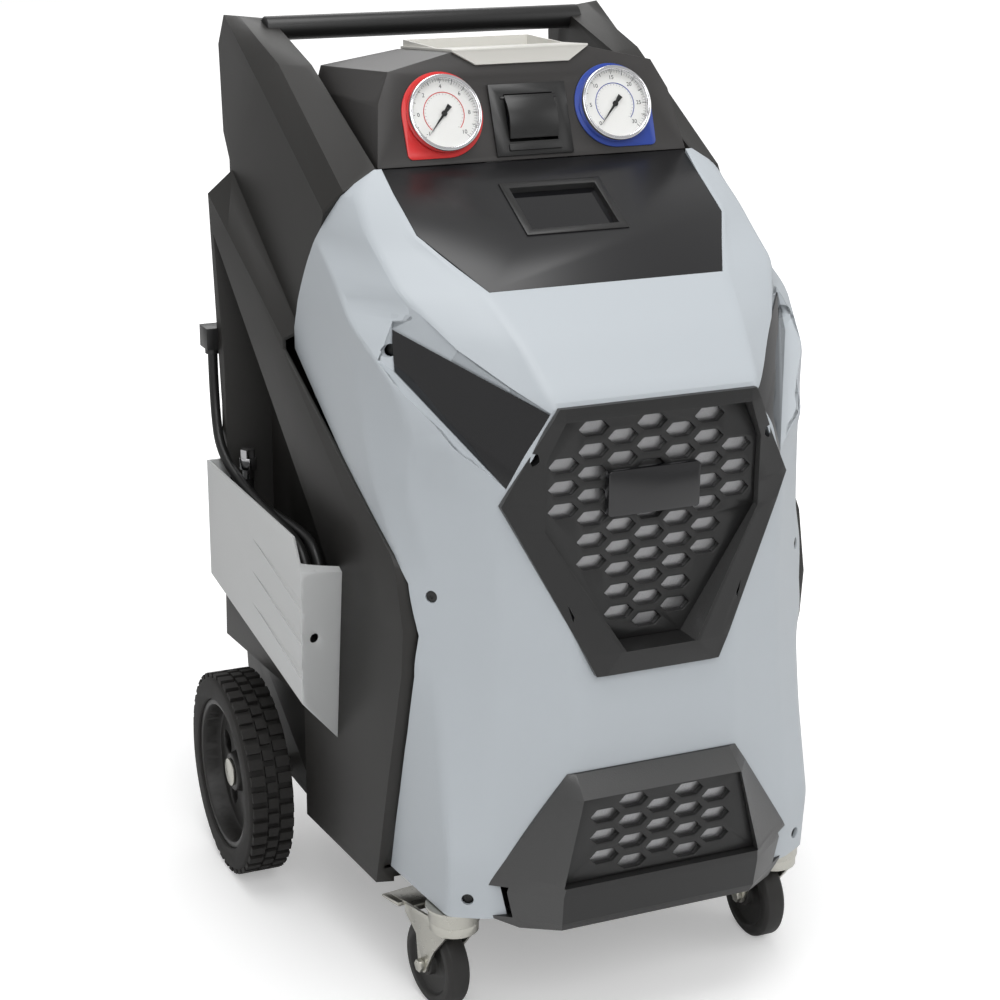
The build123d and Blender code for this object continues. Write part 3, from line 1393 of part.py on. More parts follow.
save(cooling_fan.part.moved(fan_place), "cooling_fan")
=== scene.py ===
"""Dresses the air conditioning recharge station: finishes, edges, tread, dials, grilles and hose."""
import json
import math

import bmesh
import bpy
from mathutils import Matrix, Vector


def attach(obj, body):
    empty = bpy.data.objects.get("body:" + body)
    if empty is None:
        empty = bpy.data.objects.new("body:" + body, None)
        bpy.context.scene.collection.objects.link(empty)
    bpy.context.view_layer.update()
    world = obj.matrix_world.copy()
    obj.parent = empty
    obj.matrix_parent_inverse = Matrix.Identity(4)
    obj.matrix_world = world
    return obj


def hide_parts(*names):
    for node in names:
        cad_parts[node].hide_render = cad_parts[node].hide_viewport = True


bl_info = {
    "name": "Recharge station dresser",
    "version": (1, 0, 0),
    "blender": (4, 5, 0),
    "location": "3D View > Sidebar > Station",
    "description": "Builds the visible pieces of a wheeled air conditioning recharge station",
    "category": "Object",
}

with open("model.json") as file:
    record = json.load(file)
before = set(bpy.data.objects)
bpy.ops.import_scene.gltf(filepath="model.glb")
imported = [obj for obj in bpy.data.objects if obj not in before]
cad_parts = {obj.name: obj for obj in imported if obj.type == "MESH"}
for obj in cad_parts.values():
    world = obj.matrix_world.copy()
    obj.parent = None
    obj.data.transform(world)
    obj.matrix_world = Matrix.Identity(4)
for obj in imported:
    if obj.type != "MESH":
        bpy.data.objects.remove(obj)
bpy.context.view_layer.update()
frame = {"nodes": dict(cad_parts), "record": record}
MM = 0.001
BODIES = frame["record"]["behaviour"]["bodies"]
BODY_OF = {node: body for body, nodes in BODIES.items() for node in nodes}
FINISH = {}

# The two console planes: local x is the station's X, y goes up the panel and z looks out of it
UPPER_LEAN = math.radians(21.7)
LOWER_SLOPE = math.radians(29.1)
FOLD = Vector((0.0, -14.6, 879.0)) * MM


class StationSizes(bpy.types.PropertyGroup):
    """Sizes of the details that are added to the solids."""
    shell_round: bpy.props.FloatProperty(
        name="Cover edge", description="Rounding of the moulded covers' edges", default=0.0035,
        unit="LENGTH")
    metal_round: bpy.props.FloatProperty(
        name="Metal edge", description="Rounding of the metal pieces' edges", default=0.0006,
        unit="LENGTH")
    trim_round: bpy.props.FloatProperty(
        name="Trim edge", description="Rounding of the trims and frames", default=0.0022, unit="LENGTH")
    lug_count: bpy.props.IntProperty(
        name="Tread lugs", description="Lugs in one row of a rear tyre", default=40)
    lug_height: bpy.props.FloatProperty(
        name="Lug height", description="How far a lug stands out of the tyre", default=0.005,
        unit="LENGTH")
    tick_count: bpy.props.IntProperty(
        name="Dial ticks", description="Scale marks on a gauge dial", default=55)
    hose_diameter: bpy.props.FloatProperty(
        name="Hose", description="Outer diameter of the service hose", default=0.012, unit="LENGTH")
    hose_length: bpy.props.FloatProperty(
        name="Hose length", description="Length of the service hose with its coil", default=2.60,
        unit="LENGTH")


class StationColours(bpy.types.PropertyGroup):
    """Colours of the station's finishes."""
    cover: bpy.props.FloatVectorProperty(
        name="Front cover", description="Cool light grey of the front cover", size=3, subtype="COLOR",
        default=(0.46, 0.495, 0.525))
    side: bpy.props.FloatVectorProperty(
        name="Side shells", description="Grained black plastic of the towers", size=3, subtype="COLOR",
        default=(0.018, 0.017, 0.0155))
    trim: bpy.props.FloatVectorProperty(
        name="Trims", description="Black plastic of the frames and grilles", size=3, subtype="COLOR",
        default=(0.013, 0.013, 0.013))
    white: bpy.props.FloatVectorProperty(
        name="Bins and tray", description="Off-white plastic of the hose bins and the top tray", size=3,
        subtype="COLOR", default=(0.55, 0.56, 0.56))
    panel: bpy.props.FloatVectorProperty(
        name="Gauge panel", description="Dark warm grey of the console", size=3, subtype="COLOR",
        default=(0.034, 0.032, 0.031))
    low_side: bpy.props.FloatVectorProperty(
        name="Low side", description="Colour of the left gauge's plate", size=3, subtype="COLOR",
        default=(0.62, 0.02, 0.02))
    high_side: bpy.props.FloatVectorProperty(
        name="High side", description="Colour of the right gauge's plate", size=3, subtype="COLOR",
        default=(0.02, 0.055, 0.32))


def sizes():
    """The station's sizes in this scene."""
    return bpy.context.scene.station_sizes


def colours():
    """The station's colours in this scene."""
    return bpy.context.scene.station_colours


def plain(name, colour, rough, metallic=0.0, coat=0.0, level=0.5):
    """A finish that is the same all over."""
    finish = bpy.data.materials.new(name)
    finish.use_nodes = True
    body = finish.node_tree.nodes["Principled BSDF"]
    body.inputs["Base Color"].default_value = (*colour, 1.0)
    body.inputs["Roughness"].default_value = rough
    body.inputs["Metallic"].default_value = metallic
    body.inputs["Coat Weight"].default_value = coat
    body.inputs["Specular IOR Level"].default_value = level
    finish.diffuse_color = (*colour, 1.0)
    return finish


def grain(finish, size, depth, spread=0.0):
    """Adds a fine moulded grain to a finish, and a little unevenness to its gloss."""
    tree = finish.node_tree
    body = tree.nodes["Principled BSDF"]
    place = tree.nodes.new("ShaderNodeTexCoord")
    noise = tree.nodes.new("ShaderNodeTexNoise")
    noise.inputs["Scale"].default_value = 1.0 / size
    noise.inputs["Detail"].default_value = 3.0
    bump = tree.nodes.new("ShaderNodeBump")
    bump.inputs["Strength"].default_value = 0.35
    bump.inputs["Distance"].default_value = depth
    tree.links.new(place.outputs["Object"], noise.inputs["Vector"])
    tree.links.new(noise.outputs["Fac"], bump.inputs["Height"])
    tree.links.new(bump.outputs["Normal"], body.inputs["Normal"])
    if spread:
        rough = body.inputs["Roughness"].default_value
        ramp = tree.nodes.new("ShaderNodeMapRange")
        ramp.inputs["To Min"].default_value = rough - spread
        ramp.inputs["To Max"].default_value = rough + spread
        tree.links.new(noise.outputs["Fac"], ramp.inputs["Value"])
        tree.links.new(ramp.outputs["Result"], body.inputs["Roughness"])
    return finish


# Expanded metal: slope of a strand, and the wave height past which there is a hole, painted as shade
MESH_LEAN = 1.9
MESH_HOLE = 0.62


def pierced(name, colour, hole_shade, pitch):
    """Expanded metal sheet: bright strands round small dark diamonds of painted shade, which stand for
    the holes and the dark inside seen through them.
    """
    finish = plain(name, colour, 0.35, metallic=0.9)
    tree = finish.node_tree
    body = tree.nodes["Principled BSDF"]
    place = tree.nodes.new("ShaderNodeTexCoord")
    split = tree.nodes.new("ShaderNodeSeparateXYZ")
    tree.links.new(place.outputs["Object"], split.inputs["Vector"])

    def wave(sign):
        """Sine across one diagonal of the diamonds."""
        lean = tree.nodes.new("ShaderNodeMath")
        lean.operation = "MULTIPLY_ADD"
        lean.inputs[1].default_value = sign * MESH_LEAN
        tree.links.new(split.outputs["Z"], lean.inputs[0])
        tree.links.new(split.outputs["X"], lean.inputs[2])
        turn = tree.nodes.new("ShaderNodeMath")
        turn.operation = "MULTIPLY"
        turn.inputs[1].default_value = math.pi / pitch
        tree.links.new(lean.outputs[0], turn.inputs[0])
        sine = tree.nodes.new("ShaderNodeMath")
        sine.operation = "SINE"
        tree.links.new(turn.outputs[0], sine.inputs[0])
        size = tree.nodes.new("ShaderNodeMath")
        size.operation = "ABSOLUTE"
        tree.links.new(sine.outputs[0], size.inputs[0])
        return size

    least = tree.nodes.new("ShaderNodeMath")
    least.operation = "MINIMUM"
    tree.links.new(wave(1.0).outputs[0], least.inputs[0])
    tree.links.new(wave(-1.0).outputs[0], least.inputs[1])
    edge = tree.nodes.new("ShaderNodeMath")
    edge.operation = "GREATER_THAN"
    edge.inputs[1].default_value = MESH_HOLE
    tree.links.new(least.outputs[0], edge.inputs[0])
    # The hole colour is painted shade, not an opening
    mix = tree.nodes.new("ShaderNodeMix")
    mix.data_type = "RGBA"
    mix.inputs["A"].default_value = (*colour, 1.0)
    mix.inputs["B"].default_value = (*hole_shade, 1.0)
    tree.links.new(edge.outputs[0], mix.inputs["Factor"])
    tree.links.new(mix.outputs["Result"], body.inputs["Base Color"])
    return finish


def clear(name, colour, rough):
    """Clear glass or plastic."""
    finish = plain(name, colour, rough)
    body = finish.node_tree.nodes["Principled BSDF"]
    body.inputs["Transmission Weight"].default_value = 1.0
    body.inputs["IOR"].default_value = 1.05
    return finish


def make_finishes():
    """Every finish of the station, by name."""
    shade = colours()
    FINISH.update({
        "cover": grain(plain("cover_grey", shade.cover, 0.42, level=0.4), 0.0012, 0.00006),
        "side": grain(plain("side_black", shade.side, 0.5, level=0.45), 0.0011, 0.00025, 0.05),
        "trim": grain(plain("trim_black", shade.trim, 0.4, level=0.5), 0.0012, 0.00018),
        # Lighter grey for trim faces that turn up or out to the sides: painted light on the black trim,
        # over a real coarse grain
        "lit_facet": grain(plain("trim_painted_light", (0.05, 0.05, 0.05), 0.38, level=0.6), 0.0018, 0.0009),
        "white": grain(plain("bin_white", shade.white, 0.45, level=0.4), 0.0015, 0.00005),
        "tray": plain("tray_cream", (0.62, 0.61, 0.57), 0.4),
        "panel": grain(plain("console_dark", shade.panel, 0.42, level=0.4), 0.0012, 0.00010),
        "screen_panel": plain("console_black", (0.012, 0.012, 0.013), 0.32),
        "gloss": plain("gloss_black", (0.006, 0.006, 0.007), 0.12, coat=0.5),
        "satin": plain("satin_black", (0.012, 0.012, 0.012), 0.35),
        "low": plain("low_side_red", shade.low_side, 0.3),
        "high": plain("high_side_blue", shade.high_side, 0.3),
        "dial": plain("dial_white", (0.82, 0.82, 0.8), 0.5),
        "ink": plain("dial_ink", (0.01, 0.01, 0.012), 0.5),
        "red_ink": plain("dial_red", (0.6, 0.02, 0.02), 0.5),
        "blue_ink": plain("dial_blue", (0.03, 0.06, 0.35), 0.5),
        "chrome": plain("bright_chrome", (0.78, 0.78, 0.8), 0.12, metallic=1.0),
        "zinc": grain(plain("zinc_plate", (0.56, 0.55, 0.50), 0.3, metallic=0.95), 0.004, 0.00008, 0.08),
        "steel": plain("frame_steel", (0.30, 0.30, 0.31), 0.45, metallic=0.8),
        "brass": plain("hub_brass", (0.62, 0.44, 0.16), 0.3, metallic=1.0),
        "iron": grain(plain("pump_iron", (0.05, 0.09, 0.14), 0.55), 0.003, 0.0003),
        "tank": plain("tank_blue", (0.04, 0.12, 0.25), 0.4),
        "fin": plain("condenser_fin", (0.35, 0.35, 0.36), 0.5, metallic=0.7),
        "bar": plain("bar_black", (0.014, 0.014, 0.014), 0.38),
        "tyre": grain(plain("tyre_rubber", (0.017, 0.016, 0.015), 0.72, level=0.35),
                      0.003, 0.0002, 0.06),
        "roller": grain(plain("caster_rubber", (0.022, 0.021, 0.02), 0.5, level=0.4),
                        0.003, 0.0001, 0.06),
        "rim": grain(plain("rim_black", (0.014, 0.013, 0.012), 0.42), 0.002, 0.00012),
        "hose": plain("hose_black", (0.01, 0.01, 0.01), 0.42),
        # The near-black second colour is painted shade for the dark inside behind the mesh's holes
        "mesh": pierced("grille_mesh_metal", (0.52, 0.52, 0.53), (0.008, 0.008, 0.008), 0.0024),
        "glass": clear("gauge_glass", (1.0, 1.0, 1.0), 0.02),
        "display": plain("display_glass", (0.004, 0.004, 0.005), 0.08, coat=0.3),
    })


def new_piece(name, mesh, body):
    """Links a mesh as a piece of the station that rides on a body."""
    piece = bpy.data.objects.new(name, mesh)
    bpy.context.scene.collection.objects.link(piece)
    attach(piece, body)
    return piece


def applied(name, mesh, *modifiers):
    """The mesh with modifiers applied; each is (kind, settings)."""
    holder = bpy.data.objects.new(name + "_work", mesh)
    bpy.context.scene.collection.objects.link(holder)
    for kind, settings in modifiers:
        modifier = holder.modifiers.new(kind, kind)
        for key, value in settings.items():
            setattr(modifier, key, value)
    graph = bpy.context.evaluated_depsgraph_get()
    result = bpy.data.meshes.new_from_object(holder.evaluated_get(graph))
    result.name = name
    bpy.data.objects.remove(holder)
    return result


def crisp(mesh, angle=32.0):
    """Smooth shading with sharp edges past an angle."""
    mesh.shade_smooth()
    mesh.set_sharp_from_angle(angle=math.radians(angle))
    return mesh


def merged_copy(node):
    """A CAD node's mesh with its doubles merged and its flat faces joined."""
    form = bmesh.new()
    form.from_mesh(frame["nodes"][node].data)
    bmesh.ops.remove_doubles(form, verts=form.verts, dist=0.00002)
    bmesh.ops.dissolve_limit(form, angle_limit=math.radians(0.6), verts=form.verts, edges=form.edges)
    mesh = bpy.data.meshes.new(node + "_merged")
    form.to_mesh(mesh)
    form.free()
    return mesh


def dress(node, finish, rounding, angle=30.0, segments=2):
    """Replaces a CAD node by the same shape with rounded edges and a finish."""
    mesh = applied(node + "_dressed", merged_copy(node), ("BEVEL", {
        "width": rounding, "segments": segments, "limit_method": "ANGLE",
        "angle_limit": math.radians(angle), "use_clamp_overlap": True, "harden_normals": False}))
    crisp(mesh, angle + 12.0)
    mesh.materials.clear()
    mesh.materials.append(FINISH[finish])
    piece = new_piece(node + "_dressed", mesh, BODY_OF[node])
    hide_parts(node)
    return piece


def paint(node, finish):
    """Gives a CAD node a finish and leaves its shape."""
    mesh = frame["nodes"][node].data
    mesh.materials.clear()
    mesh.materials.append(FINISH[finish])
    for face in mesh.polygons:
        face.material_index = 0


def prism(outline, axis, start, end):
    """A closed prism along X, Y or Z from an outline of two-part points, in millimetres."""
    form = bmesh.new()
    rings = []
    for along in (start, end):
        ring = []
        for a, b in outline:
            place = {"X": (along, a, b), "Y": (a, along, b), "Z": (a, b, along)}[axis]
            ring.append(form.verts.new(Vector(place) * MM))
        rings.append(ring)
    close_rings(form, rings)
    return form


def close_rings(form, rings):
    """Joins rings of corners by quads, caps the first and last, and turns the faces outward."""
    for lower, upper in zip(rings, rings[1:]):
        for index in range(len(lower)):
            after = (index + 1) % len(lower)
            form.faces.new((lower[index], lower[after], upper[after], upper[index]))
    form.faces.new(rings[0])
    form.faces.new(rings[-1])
    bmesh.ops.recalc_face_normals(form, faces=form.faces)


def helper(name, form):
    """An object that only serves to cut or join another, from a bmesh."""
    mesh = bpy.data.meshes.new(name)
    form.to_mesh(mesh)
    form.free()
    piece = bpy.data.objects.new(name, mesh)
    bpy.context.scene.collection.objects.link(piece)
    return piece


def carved(name, mesh, operation, *tools):
    """The mesh after an exact boolean with each tool in turn; the tools stay in the scene."""
    for tool in tools:
        mesh = applied(name, mesh, ("BOOLEAN", {
            "operation": operation, "solver": "EXACT", "object": tool}))
    return mesh


def discard(*tools):
    """Removes helper objects and their meshes."""
    for tool in tools:
        mesh = tool.data
        bpy.data.objects.remove(tool)
        bpy.data.meshes.remove(mesh)


def ring_tree():
    """Geometry Nodes tree: blocks spaced by an angle round a circle, turned and moved to a centre."""
    tree = bpy.data.node_groups.new("ring_of_blocks", "GeometryNodeTree")
    face = tree.interface
    face.new_socket("Count", in_out="INPUT", socket_type="NodeSocketInt")
    for name in ("Radius", "Start", "Step"):
        face.new_socket(name, in_out="INPUT", socket_type="NodeSocketFloat")
    for name in ("Block", "Turn", "Centre"):
        face.new_socket(name, in_out="INPUT", socket_type="NodeSocketVector")
    face.new_socket("Finish", in_out="INPUT", socket_type="NodeSocketMaterial")
    face.new_socket("Blocks", in_out="OUTPUT", socket_type="NodeSocketGeometry")
    given = tree.nodes.new("NodeGroupInput")
    result = tree.nodes.new("NodeGroupOutput")

    def node(kind, **links):
        """A node with its inputs linked by name."""
        new = tree.nodes.new(kind)
        for name, source in links.items():
            tree.links.new(source, new.inputs[name.replace("_", " ")])
        return new

    def maths(operation, *terms):
        """The result of a maths node on up to three sources."""
        new = tree.nodes.new("ShaderNodeMath")
        new.operation = operation
        for socket, source in zip(new.inputs, terms):
            tree.links.new(source, socket)
        return new.outputs[0]

    index = tree.nodes.new("GeometryNodeInputIndex").outputs[0]
    angle = maths("MULTIPLY_ADD", index, given.outputs["Step"], given.outputs["Start"])
    along_x = maths("MULTIPLY", maths("COSINE", angle), given.outputs["Radius"])
    along_y = maths("MULTIPLY", maths("SINE", angle), given.outputs["Radius"])
    place = node("ShaderNodeCombineXYZ", X=along_x, Y=along_y)
    points = node("GeometryNodePoints", Count=given.outputs["Count"], Position=place.outputs[0])
    around = node("ShaderNodeCombineXYZ", Z=angle)
    block = node("GeometryNodeMeshCube", Size=given.outputs["Block"])
    copies = node("GeometryNodeInstanceOnPoints", Points=points.outputs[0],
                  Instance=block.outputs["Mesh"], Rotation=around.outputs[0])
    placed = node("GeometryNodeTransform", Geometry=copies.outputs[0],
                  Rotation=given.outputs["Turn"], Translation=given.outputs["Centre"])
    real = node("GeometryNodeRealizeInstances", Geometry=placed.outputs[0])
    dressed = node("GeometryNodeSetMaterial", Geometry=real.outputs[0], Material=given.outputs["Finish"])
    tree.links.new(dressed.outputs[0], result.inputs[0])
    return tree


def ring(name, finish, count, radius, start, step, block, turn, centre):
    """The mesh of one ring of blocks; angles are in radians and sizes in metres."""
    tree = bpy.data.node_groups.get("ring_of_blocks") or ring_tree()
    given = {"Count": count, "Radius": radius, "Start": start, "Step": step, "Block": block,
             "Turn": turn, "Centre": centre, "Finish": FINISH[finish]}
    holder = bpy.data.objects.new(name, bpy.data.meshes.new(name + "_base"))
    bpy.context.scene.collection.objects.link(holder)
    modifier = holder.modifiers.new("ring", "NODES")
    modifier.node_group = tree
    for socket in tree.interface.items_tree:
        if socket.in_out == "INPUT":
            modifier[socket.identifier] = given[socket.name]
    graph = bpy.context.evaluated_depsgraph_get()
    mesh = bpy.data.meshes.new_from_object(holder.evaluated_get(graph))
    mesh.name = name
    bpy.data.objects.remove(holder)
    mesh.materials.clear()
    mesh.materials.append(FINISH[finish])
    mesh.polygons.foreach_set("material_index", [0] * len(mesh.polygons))
    return mesh


def joined(name, meshes):
    """One mesh from several, each with its own material."""
    whole = bmesh.new()
    finishes = []
    for mesh in meshes:
        first = len(whole.faces)
        whole.from_mesh(mesh)
        whole.faces.ensure_lookup_table()
        if mesh.materials[0] not in finishes:
            finishes.append(mesh.materials[0])
        for face in whole.faces[first:]:
            face.material_index = finishes.index(mesh.materials[0])
    mesh = bpy.data.meshes.new(name)
    whole.to_mesh(mesh)
    whole.free()
    for finish in finishes:
        mesh.materials.append(finish)
    return mesh


def node_box(node):
    """Least and greatest corner of a CAD node's mesh, in metres."""
    places = [vertex.co for vertex in frame["nodes"][node].data.vertices]
    return (Vector([min(p[i] for p in places) for i in range(3)]),
            Vector([max(p[i] for p in places) for i in range(3)]))


class STATION_OT_finishes(bpy.types.Operator):
    """Make the finishes of plastic, metal, rubber and glass"""
    bl_idname = "station.finishes"
    bl_label = "Finishes"

    def execute(self, context):
        make_finishes()
        return {"FINISHED"}


# Lamps: name, place in metres, side of the square in metres and watts
LAMPS = (("key_lamp", (-0.9, -3.3, 2.8), 2.0, 44.0),
         ("top_lamp", (-0.2, -0.5, 3.4), 1.8, 42.0),
         ("fill_lamp", (2.8, -1.6, 2.0), 2.0, 14.0),
         ("rear_lamp", (0.6, 2.8, 2.6), 2.0, 22.0))
LAMP_TARGET = Vector((0.0, 0.0, 0.5))
WORLD_LAMP = 0.5
FLOOR_HALF = 12.0
FLOOR_GREY = 0.86
# Distance from the station and the floor's own white there, as the camera sees it
FLOOR_NEAR = (0.5, 0.30)
FLOOR_FAR = (2.2, 0.75)
# The camera of the photograph, solved from mirror pairs of the cabinet's corners; angles in radians
CAMERA_PLACE = (-0.99534, -2.13439, 1.24805)
CAMERA_DIP = 0.33437
CAMERA_TURN = 0.39987
CAMERA_LENS = 77.63
CAMERA_SHIFT = (0.0488, 0.0467)


def white_floor():
    """A floor that keeps the shadow and is otherwise white to the camera."""
    finish = plain("floor_white", (FLOOR_GREY,) * 3, 0.9, level=0.0)
    tree = finish.node_tree
    body = tree.nodes["Principled BSDF"]
    path = tree.nodes.new("ShaderNodeLightPath")
    place = tree.nodes.new("ShaderNodeTexCoord")
    reach = tree.nodes.new("ShaderNodeVectorMath")
    reach.operation = "LENGTH"
    tree.links.new(place.outputs["Object"], reach.inputs[0])
    lift = tree.nodes.new("ShaderNodeMapRange")
    lift.inputs["From Min"].default_value, lift.inputs["To Min"].default_value = FLOOR_NEAR
    lift.inputs["From Max"].default_value, lift.inputs["To Max"].default_value = FLOOR_FAR
    tree.links.new(reach.outputs["Value"], lift.inputs["Value"])
    glow = tree.nodes.new("ShaderNodeMath")
    glow.operation = "MULTIPLY"
    tree.links.new(lift.outputs["Result"], glow.inputs[1])
    tree.links.new(path.outputs["Is Camera Ray"], glow.inputs[0])
    body.inputs["Emission Color"].default_value = (1.0, 1.0, 1.0, 1.0)
    tree.links.new(glow.outputs[0], body.inputs["Emission Strength"])
    return finish


def studio_world():
    """Soft white light from all round, and a white backdrop for the camera."""
    world = bpy.data.worlds.new("studio")
    world.use_nodes = True
    tree = world.node_tree
    lamp = tree.nodes["Background"]
    lamp.inputs["Color"].default_value = (1.0, 1.0, 1.0, 1.0)
    lamp.inputs["Strength"].default_value = WORLD_LAMP
    backdrop = tree.nodes.new("ShaderNodeBackground")
    backdrop.inputs["Color"].default_value = (1.0, 1.0, 1.0, 1.0)
    backdrop.inputs["Strength"].default_value = 1.0
    path = tree.nodes.new("ShaderNodeLightPath")
    mix = tree.nodes.new("ShaderNodeMixShader")
    tree.links.new(path.outputs["Is Camera Ray"], mix.inputs["Fac"])
    tree.links.new(lamp.outputs["Background"], mix.inputs[1])
    tree.links.new(backdrop.outputs["Background"], mix.inputs[2])
    tree.links.new(mix.outputs["Shader"], tree.nodes["World Output"].inputs["Surface"])
    return world


class STATION_OT_stage(bpy.types.Operator):
    """Make the white floor, the soft lamps and the camera"""
    bl_idname = "station.stage"
    bl_label = "Stage"

    def execute(self, context):
        scene = context.scene
        scene.view_settings.view_transform = "Standard"
        floor_form = bmesh.new()
        bmesh.ops.create_grid(floor_form, x_segments=1, y_segments=1, size=FLOOR_HALF)
        floor_mesh = bpy.data.meshes.new("floor")
        floor_form.to_mesh(floor_mesh)
        floor_form.free()
        floor = bpy.data.objects.new("floor", floor_mesh)
        scene.collection.objects.link(floor)
        floor_mesh.materials.append(white_floor())
        scene.world = studio_world()

        for name, place, size, power in LAMPS:
            data = bpy.data.lights.new(name, "AREA")
            data.size = size
            data.energy = power
            light = bpy.data.objects.new(name, data)
            light.location = place
            aim = LAMP_TARGET - Vector(place)
            light.rotation_euler = aim.to_track_quat("-Z", "Y").to_euler()
            scene.collection.objects.link(light)

        data = bpy.data.cameras.new("photo_camera")
        data.sensor_width = 36.0
        data.lens = CAMERA_LENS
        data.shift_x, data.shift_y = CAMERA_SHIFT
        camera = bpy.data.objects.new("photo_camera", data)
        camera.location = CAMERA_PLACE
        camera.rotation_euler = (math.radians(90.0) - CAMERA_DIP, 0.0, -CAMERA_TURN)
        scene.collection.objects.link(camera)
        scene.camera = camera
        return {"FINISHED"}


# Outer form of the front cover, half: at each height the front corner, the front shoulder, the upper
# fold, the lower fold, the side edge and the rear end of the side wing
COVER_LEVELS = [
    (138, [(99, -318), (180, -301), (205, -287), (216, -280), (229, -150), (244, 90)]),
    (205, [(99, -320), (180, -301), (205, -290), (217, -284), (231, -170), (244, 90)]),
    (300, [(99, -320), (172, -292), (200, -273), (215, -262), (232, -200), (244, 90)]),
    (400, [(92, -320), (165, -287), (195, -261), (212, -246), (232, -226), (245, 90)]),
    (480, [(95, -318), (163, -285), (195, -254), (212, -238), (233, -216), (246, 90)]),
    (590, [(105, -313), (163, -284), (198, -243), (229, -206), (246, -150), (247, 90)]),
    (640, [(109, -310), (134, -301), (199, -258), (226, -208), (247, -130), (247, 90)]),
    (690, [(113, -306), (130, -289), (185, -241), (237, -195), (249, -110), (247, 90)]),
    (740, [(125, -252), (136, -243), (187, -209), (256, -124), (252, -60), (247, 90)]),
    (777.4, [(136, -198), (150, -190), (216, -158), (251, -58), (248, 0), (247, 90)]),
    (805, [(161, -145), (170, -138), (219, -111), (245, 8), (245, 40), (245, 90)]),
    (826, [(181, -110), (187, -105), (221, -77), (238, -2), (239, 30), (239, 90)]),
    (860, [(183, -49), (190, -45), (214, -31), (224, -17), (224, 30), (224, 90)]),
    (880, [(184, -19.5), (186, -19.2), (188, -18.9), (190, -18.6), (190, 30), (190, 90)]),
]
COVER_ROW = 6.0
COVER_FOLD = 9.0
COVER_WALL = 4.0
LINER_INSET = 0.5
# Side outline that the cover keeps; its rear edge is the seam with the side shells
COVER_SEAM = [(-400, 100), (-400, 900), (-18.8, 900), (-18.8, 860), (14.7, 803), (66.7, 728),
              (81.7, 695), (81.7, 671), (-190.3, 515), (-213.3, 490), (-228.3, 437), (-225.3, 392),
              (-207.3, 320), (-184.3, 243), (-150.3, 137), (-150.3, 100)]
CONSOLE_HALF = [(181.0, -0.4), (178.0, -109.0), (133.5, -204.6)]
GRILLE_HOLE = [(108.2, 683.4), (159.5, 585.4), (69.1, 407.2)]
TRIM_HOLE = [(91.0, 287.5), (167.0, 178.5), (150.0, 100.0)]
# The recess in a shoulder, as outlines on its floor's plane
RECESS_CORNERS = [Vector((116.5, -296.1, 678.6)), Vector((158.5, -284.4, 606.6)),
                  Vector((227.7, -170.8, 702.6))]
RECESS_CENTRE = Vector((100.0, 30.0))
RECESS_FLOOR = [(12, 84), (60, 69.3), (127, 49), (197, 28), (164, 0), (-5, 0)]
RECESS_RIM = [(12, 86.5), (60, 75.5), (127, 63.5), (216, 59), (181, -1.5), (-5, -2)]
RECESS_LIP = [(12, 88.5), (60, 78), (127, 66), (222, 62), (190, -11), (-5, -12)]
RECESS_LEVELS = ((-2.0, RECESS_FLOOR), (5.5, RECESS_RIM), (38.0, RECESS_LIP))
# Cover screws: x, y and z of the head, and the turn of its axis about the vertical
SCREW_PLACES = [(214.6, -234.9, 480.5, 48.0), (225.5, -158.0, 722.0, 50.0), (196.0, -288.0, 160.0, 30.0)]
SCREW_SEAT_RADIUS = 6.5
SCREW_SEAT_DEPTH = 3.0
SCREW_TOOL_LENGTH = 15.0
# Reach of the tools that cut an opening straight back into the cover's front
FRONT_CUT = (-400.0, -200.0)
CONSOLE_CUT = (-60.0, 25.0)


def both_sides(half):
    """Closes an outline that is given on its +X side."""
    return list(half) + [(-x, y) for x, y in reversed(half)]


def softened(points, reach, steps=4):
    """A level outline with each inner corner drawn as a short curve."""
    smooth = [points[0]]
    for before, corner, after in zip(points, points[1:], points[2:]):
        first = min(reach, 0.45 * (before - corner).length)
        last = min(reach, 0.45 * (after - corner).length)
        start = corner + (before - corner).normalized() * first
        end = corner + (after - corner).normalized() * last
        for step in range(steps + 1):
            t = step / steps
            smooth.append(start * (1 - t) ** 2 + corner * 2 * t * (1 - t) + end * t ** 2)
    return smooth + [points[-1]]


def cover_rows():
    """Rows of points up the front cover, from its left rear edge round to its right one."""
    rows = []
    for (z0, low), (z1, high) in zip(COVER_LEVELS, COVER_LEVELS[1:]):
        count = max(1, round((z1 - z0) / COVER_ROW))
        for step in range(count + (z1 == COVER_LEVELS[-1][0])):
            share = step / count
            right = [Vector(a).lerp(Vector(b), share) for a, b in zip(low, high)]
            whole = [Vector((-p.x, p.y)) for p in reversed(right)] + right
            rows.append((z0 + (z1 - z0) * share, softened(whole, COVER_FOLD)))
    soft = []
    for index, (z, row) in enumerate(rows):
        near = [rows[other][1] for other in (index - 1, index, index + 1) if 0 <= other < len(rows)]
        edge = index in (0, len(rows) - 1)
        soft.append((z, row if edge else [sum(places, Vector((0, 0))) / len(places)
                                          for places in zip(*near)]))
    return soft


def cover_form(drawn_in, closed):
    """The cover's outer sheet, drawn in by a distance; closed makes a solid of it."""
    form = bmesh.new()
    rings = []
    for z, row in cover_rows():
        ring = []
        for index, place in enumerate(row):
            along = row[min(index + 1, len(row) - 1)] - row[max(index - 1, 0)]
            inward = Vector((-along.y, along.x)).normalized() * drawn_in
            ring.append(form.verts.new(Vector((*(place + inward), z)) * MM))
        rings.append(ring)
    if closed:
        close_rings(form, rings)
    else:
        for lower, upper in zip(rings, rings[1:]):
            for index in range(len(lower) - 1):
                form.faces.new((lower[index], lower[index + 1], upper[index + 1], upper[index]))
        bmesh.ops.recalc_face_normals(form, faces=form.faces)
    return form


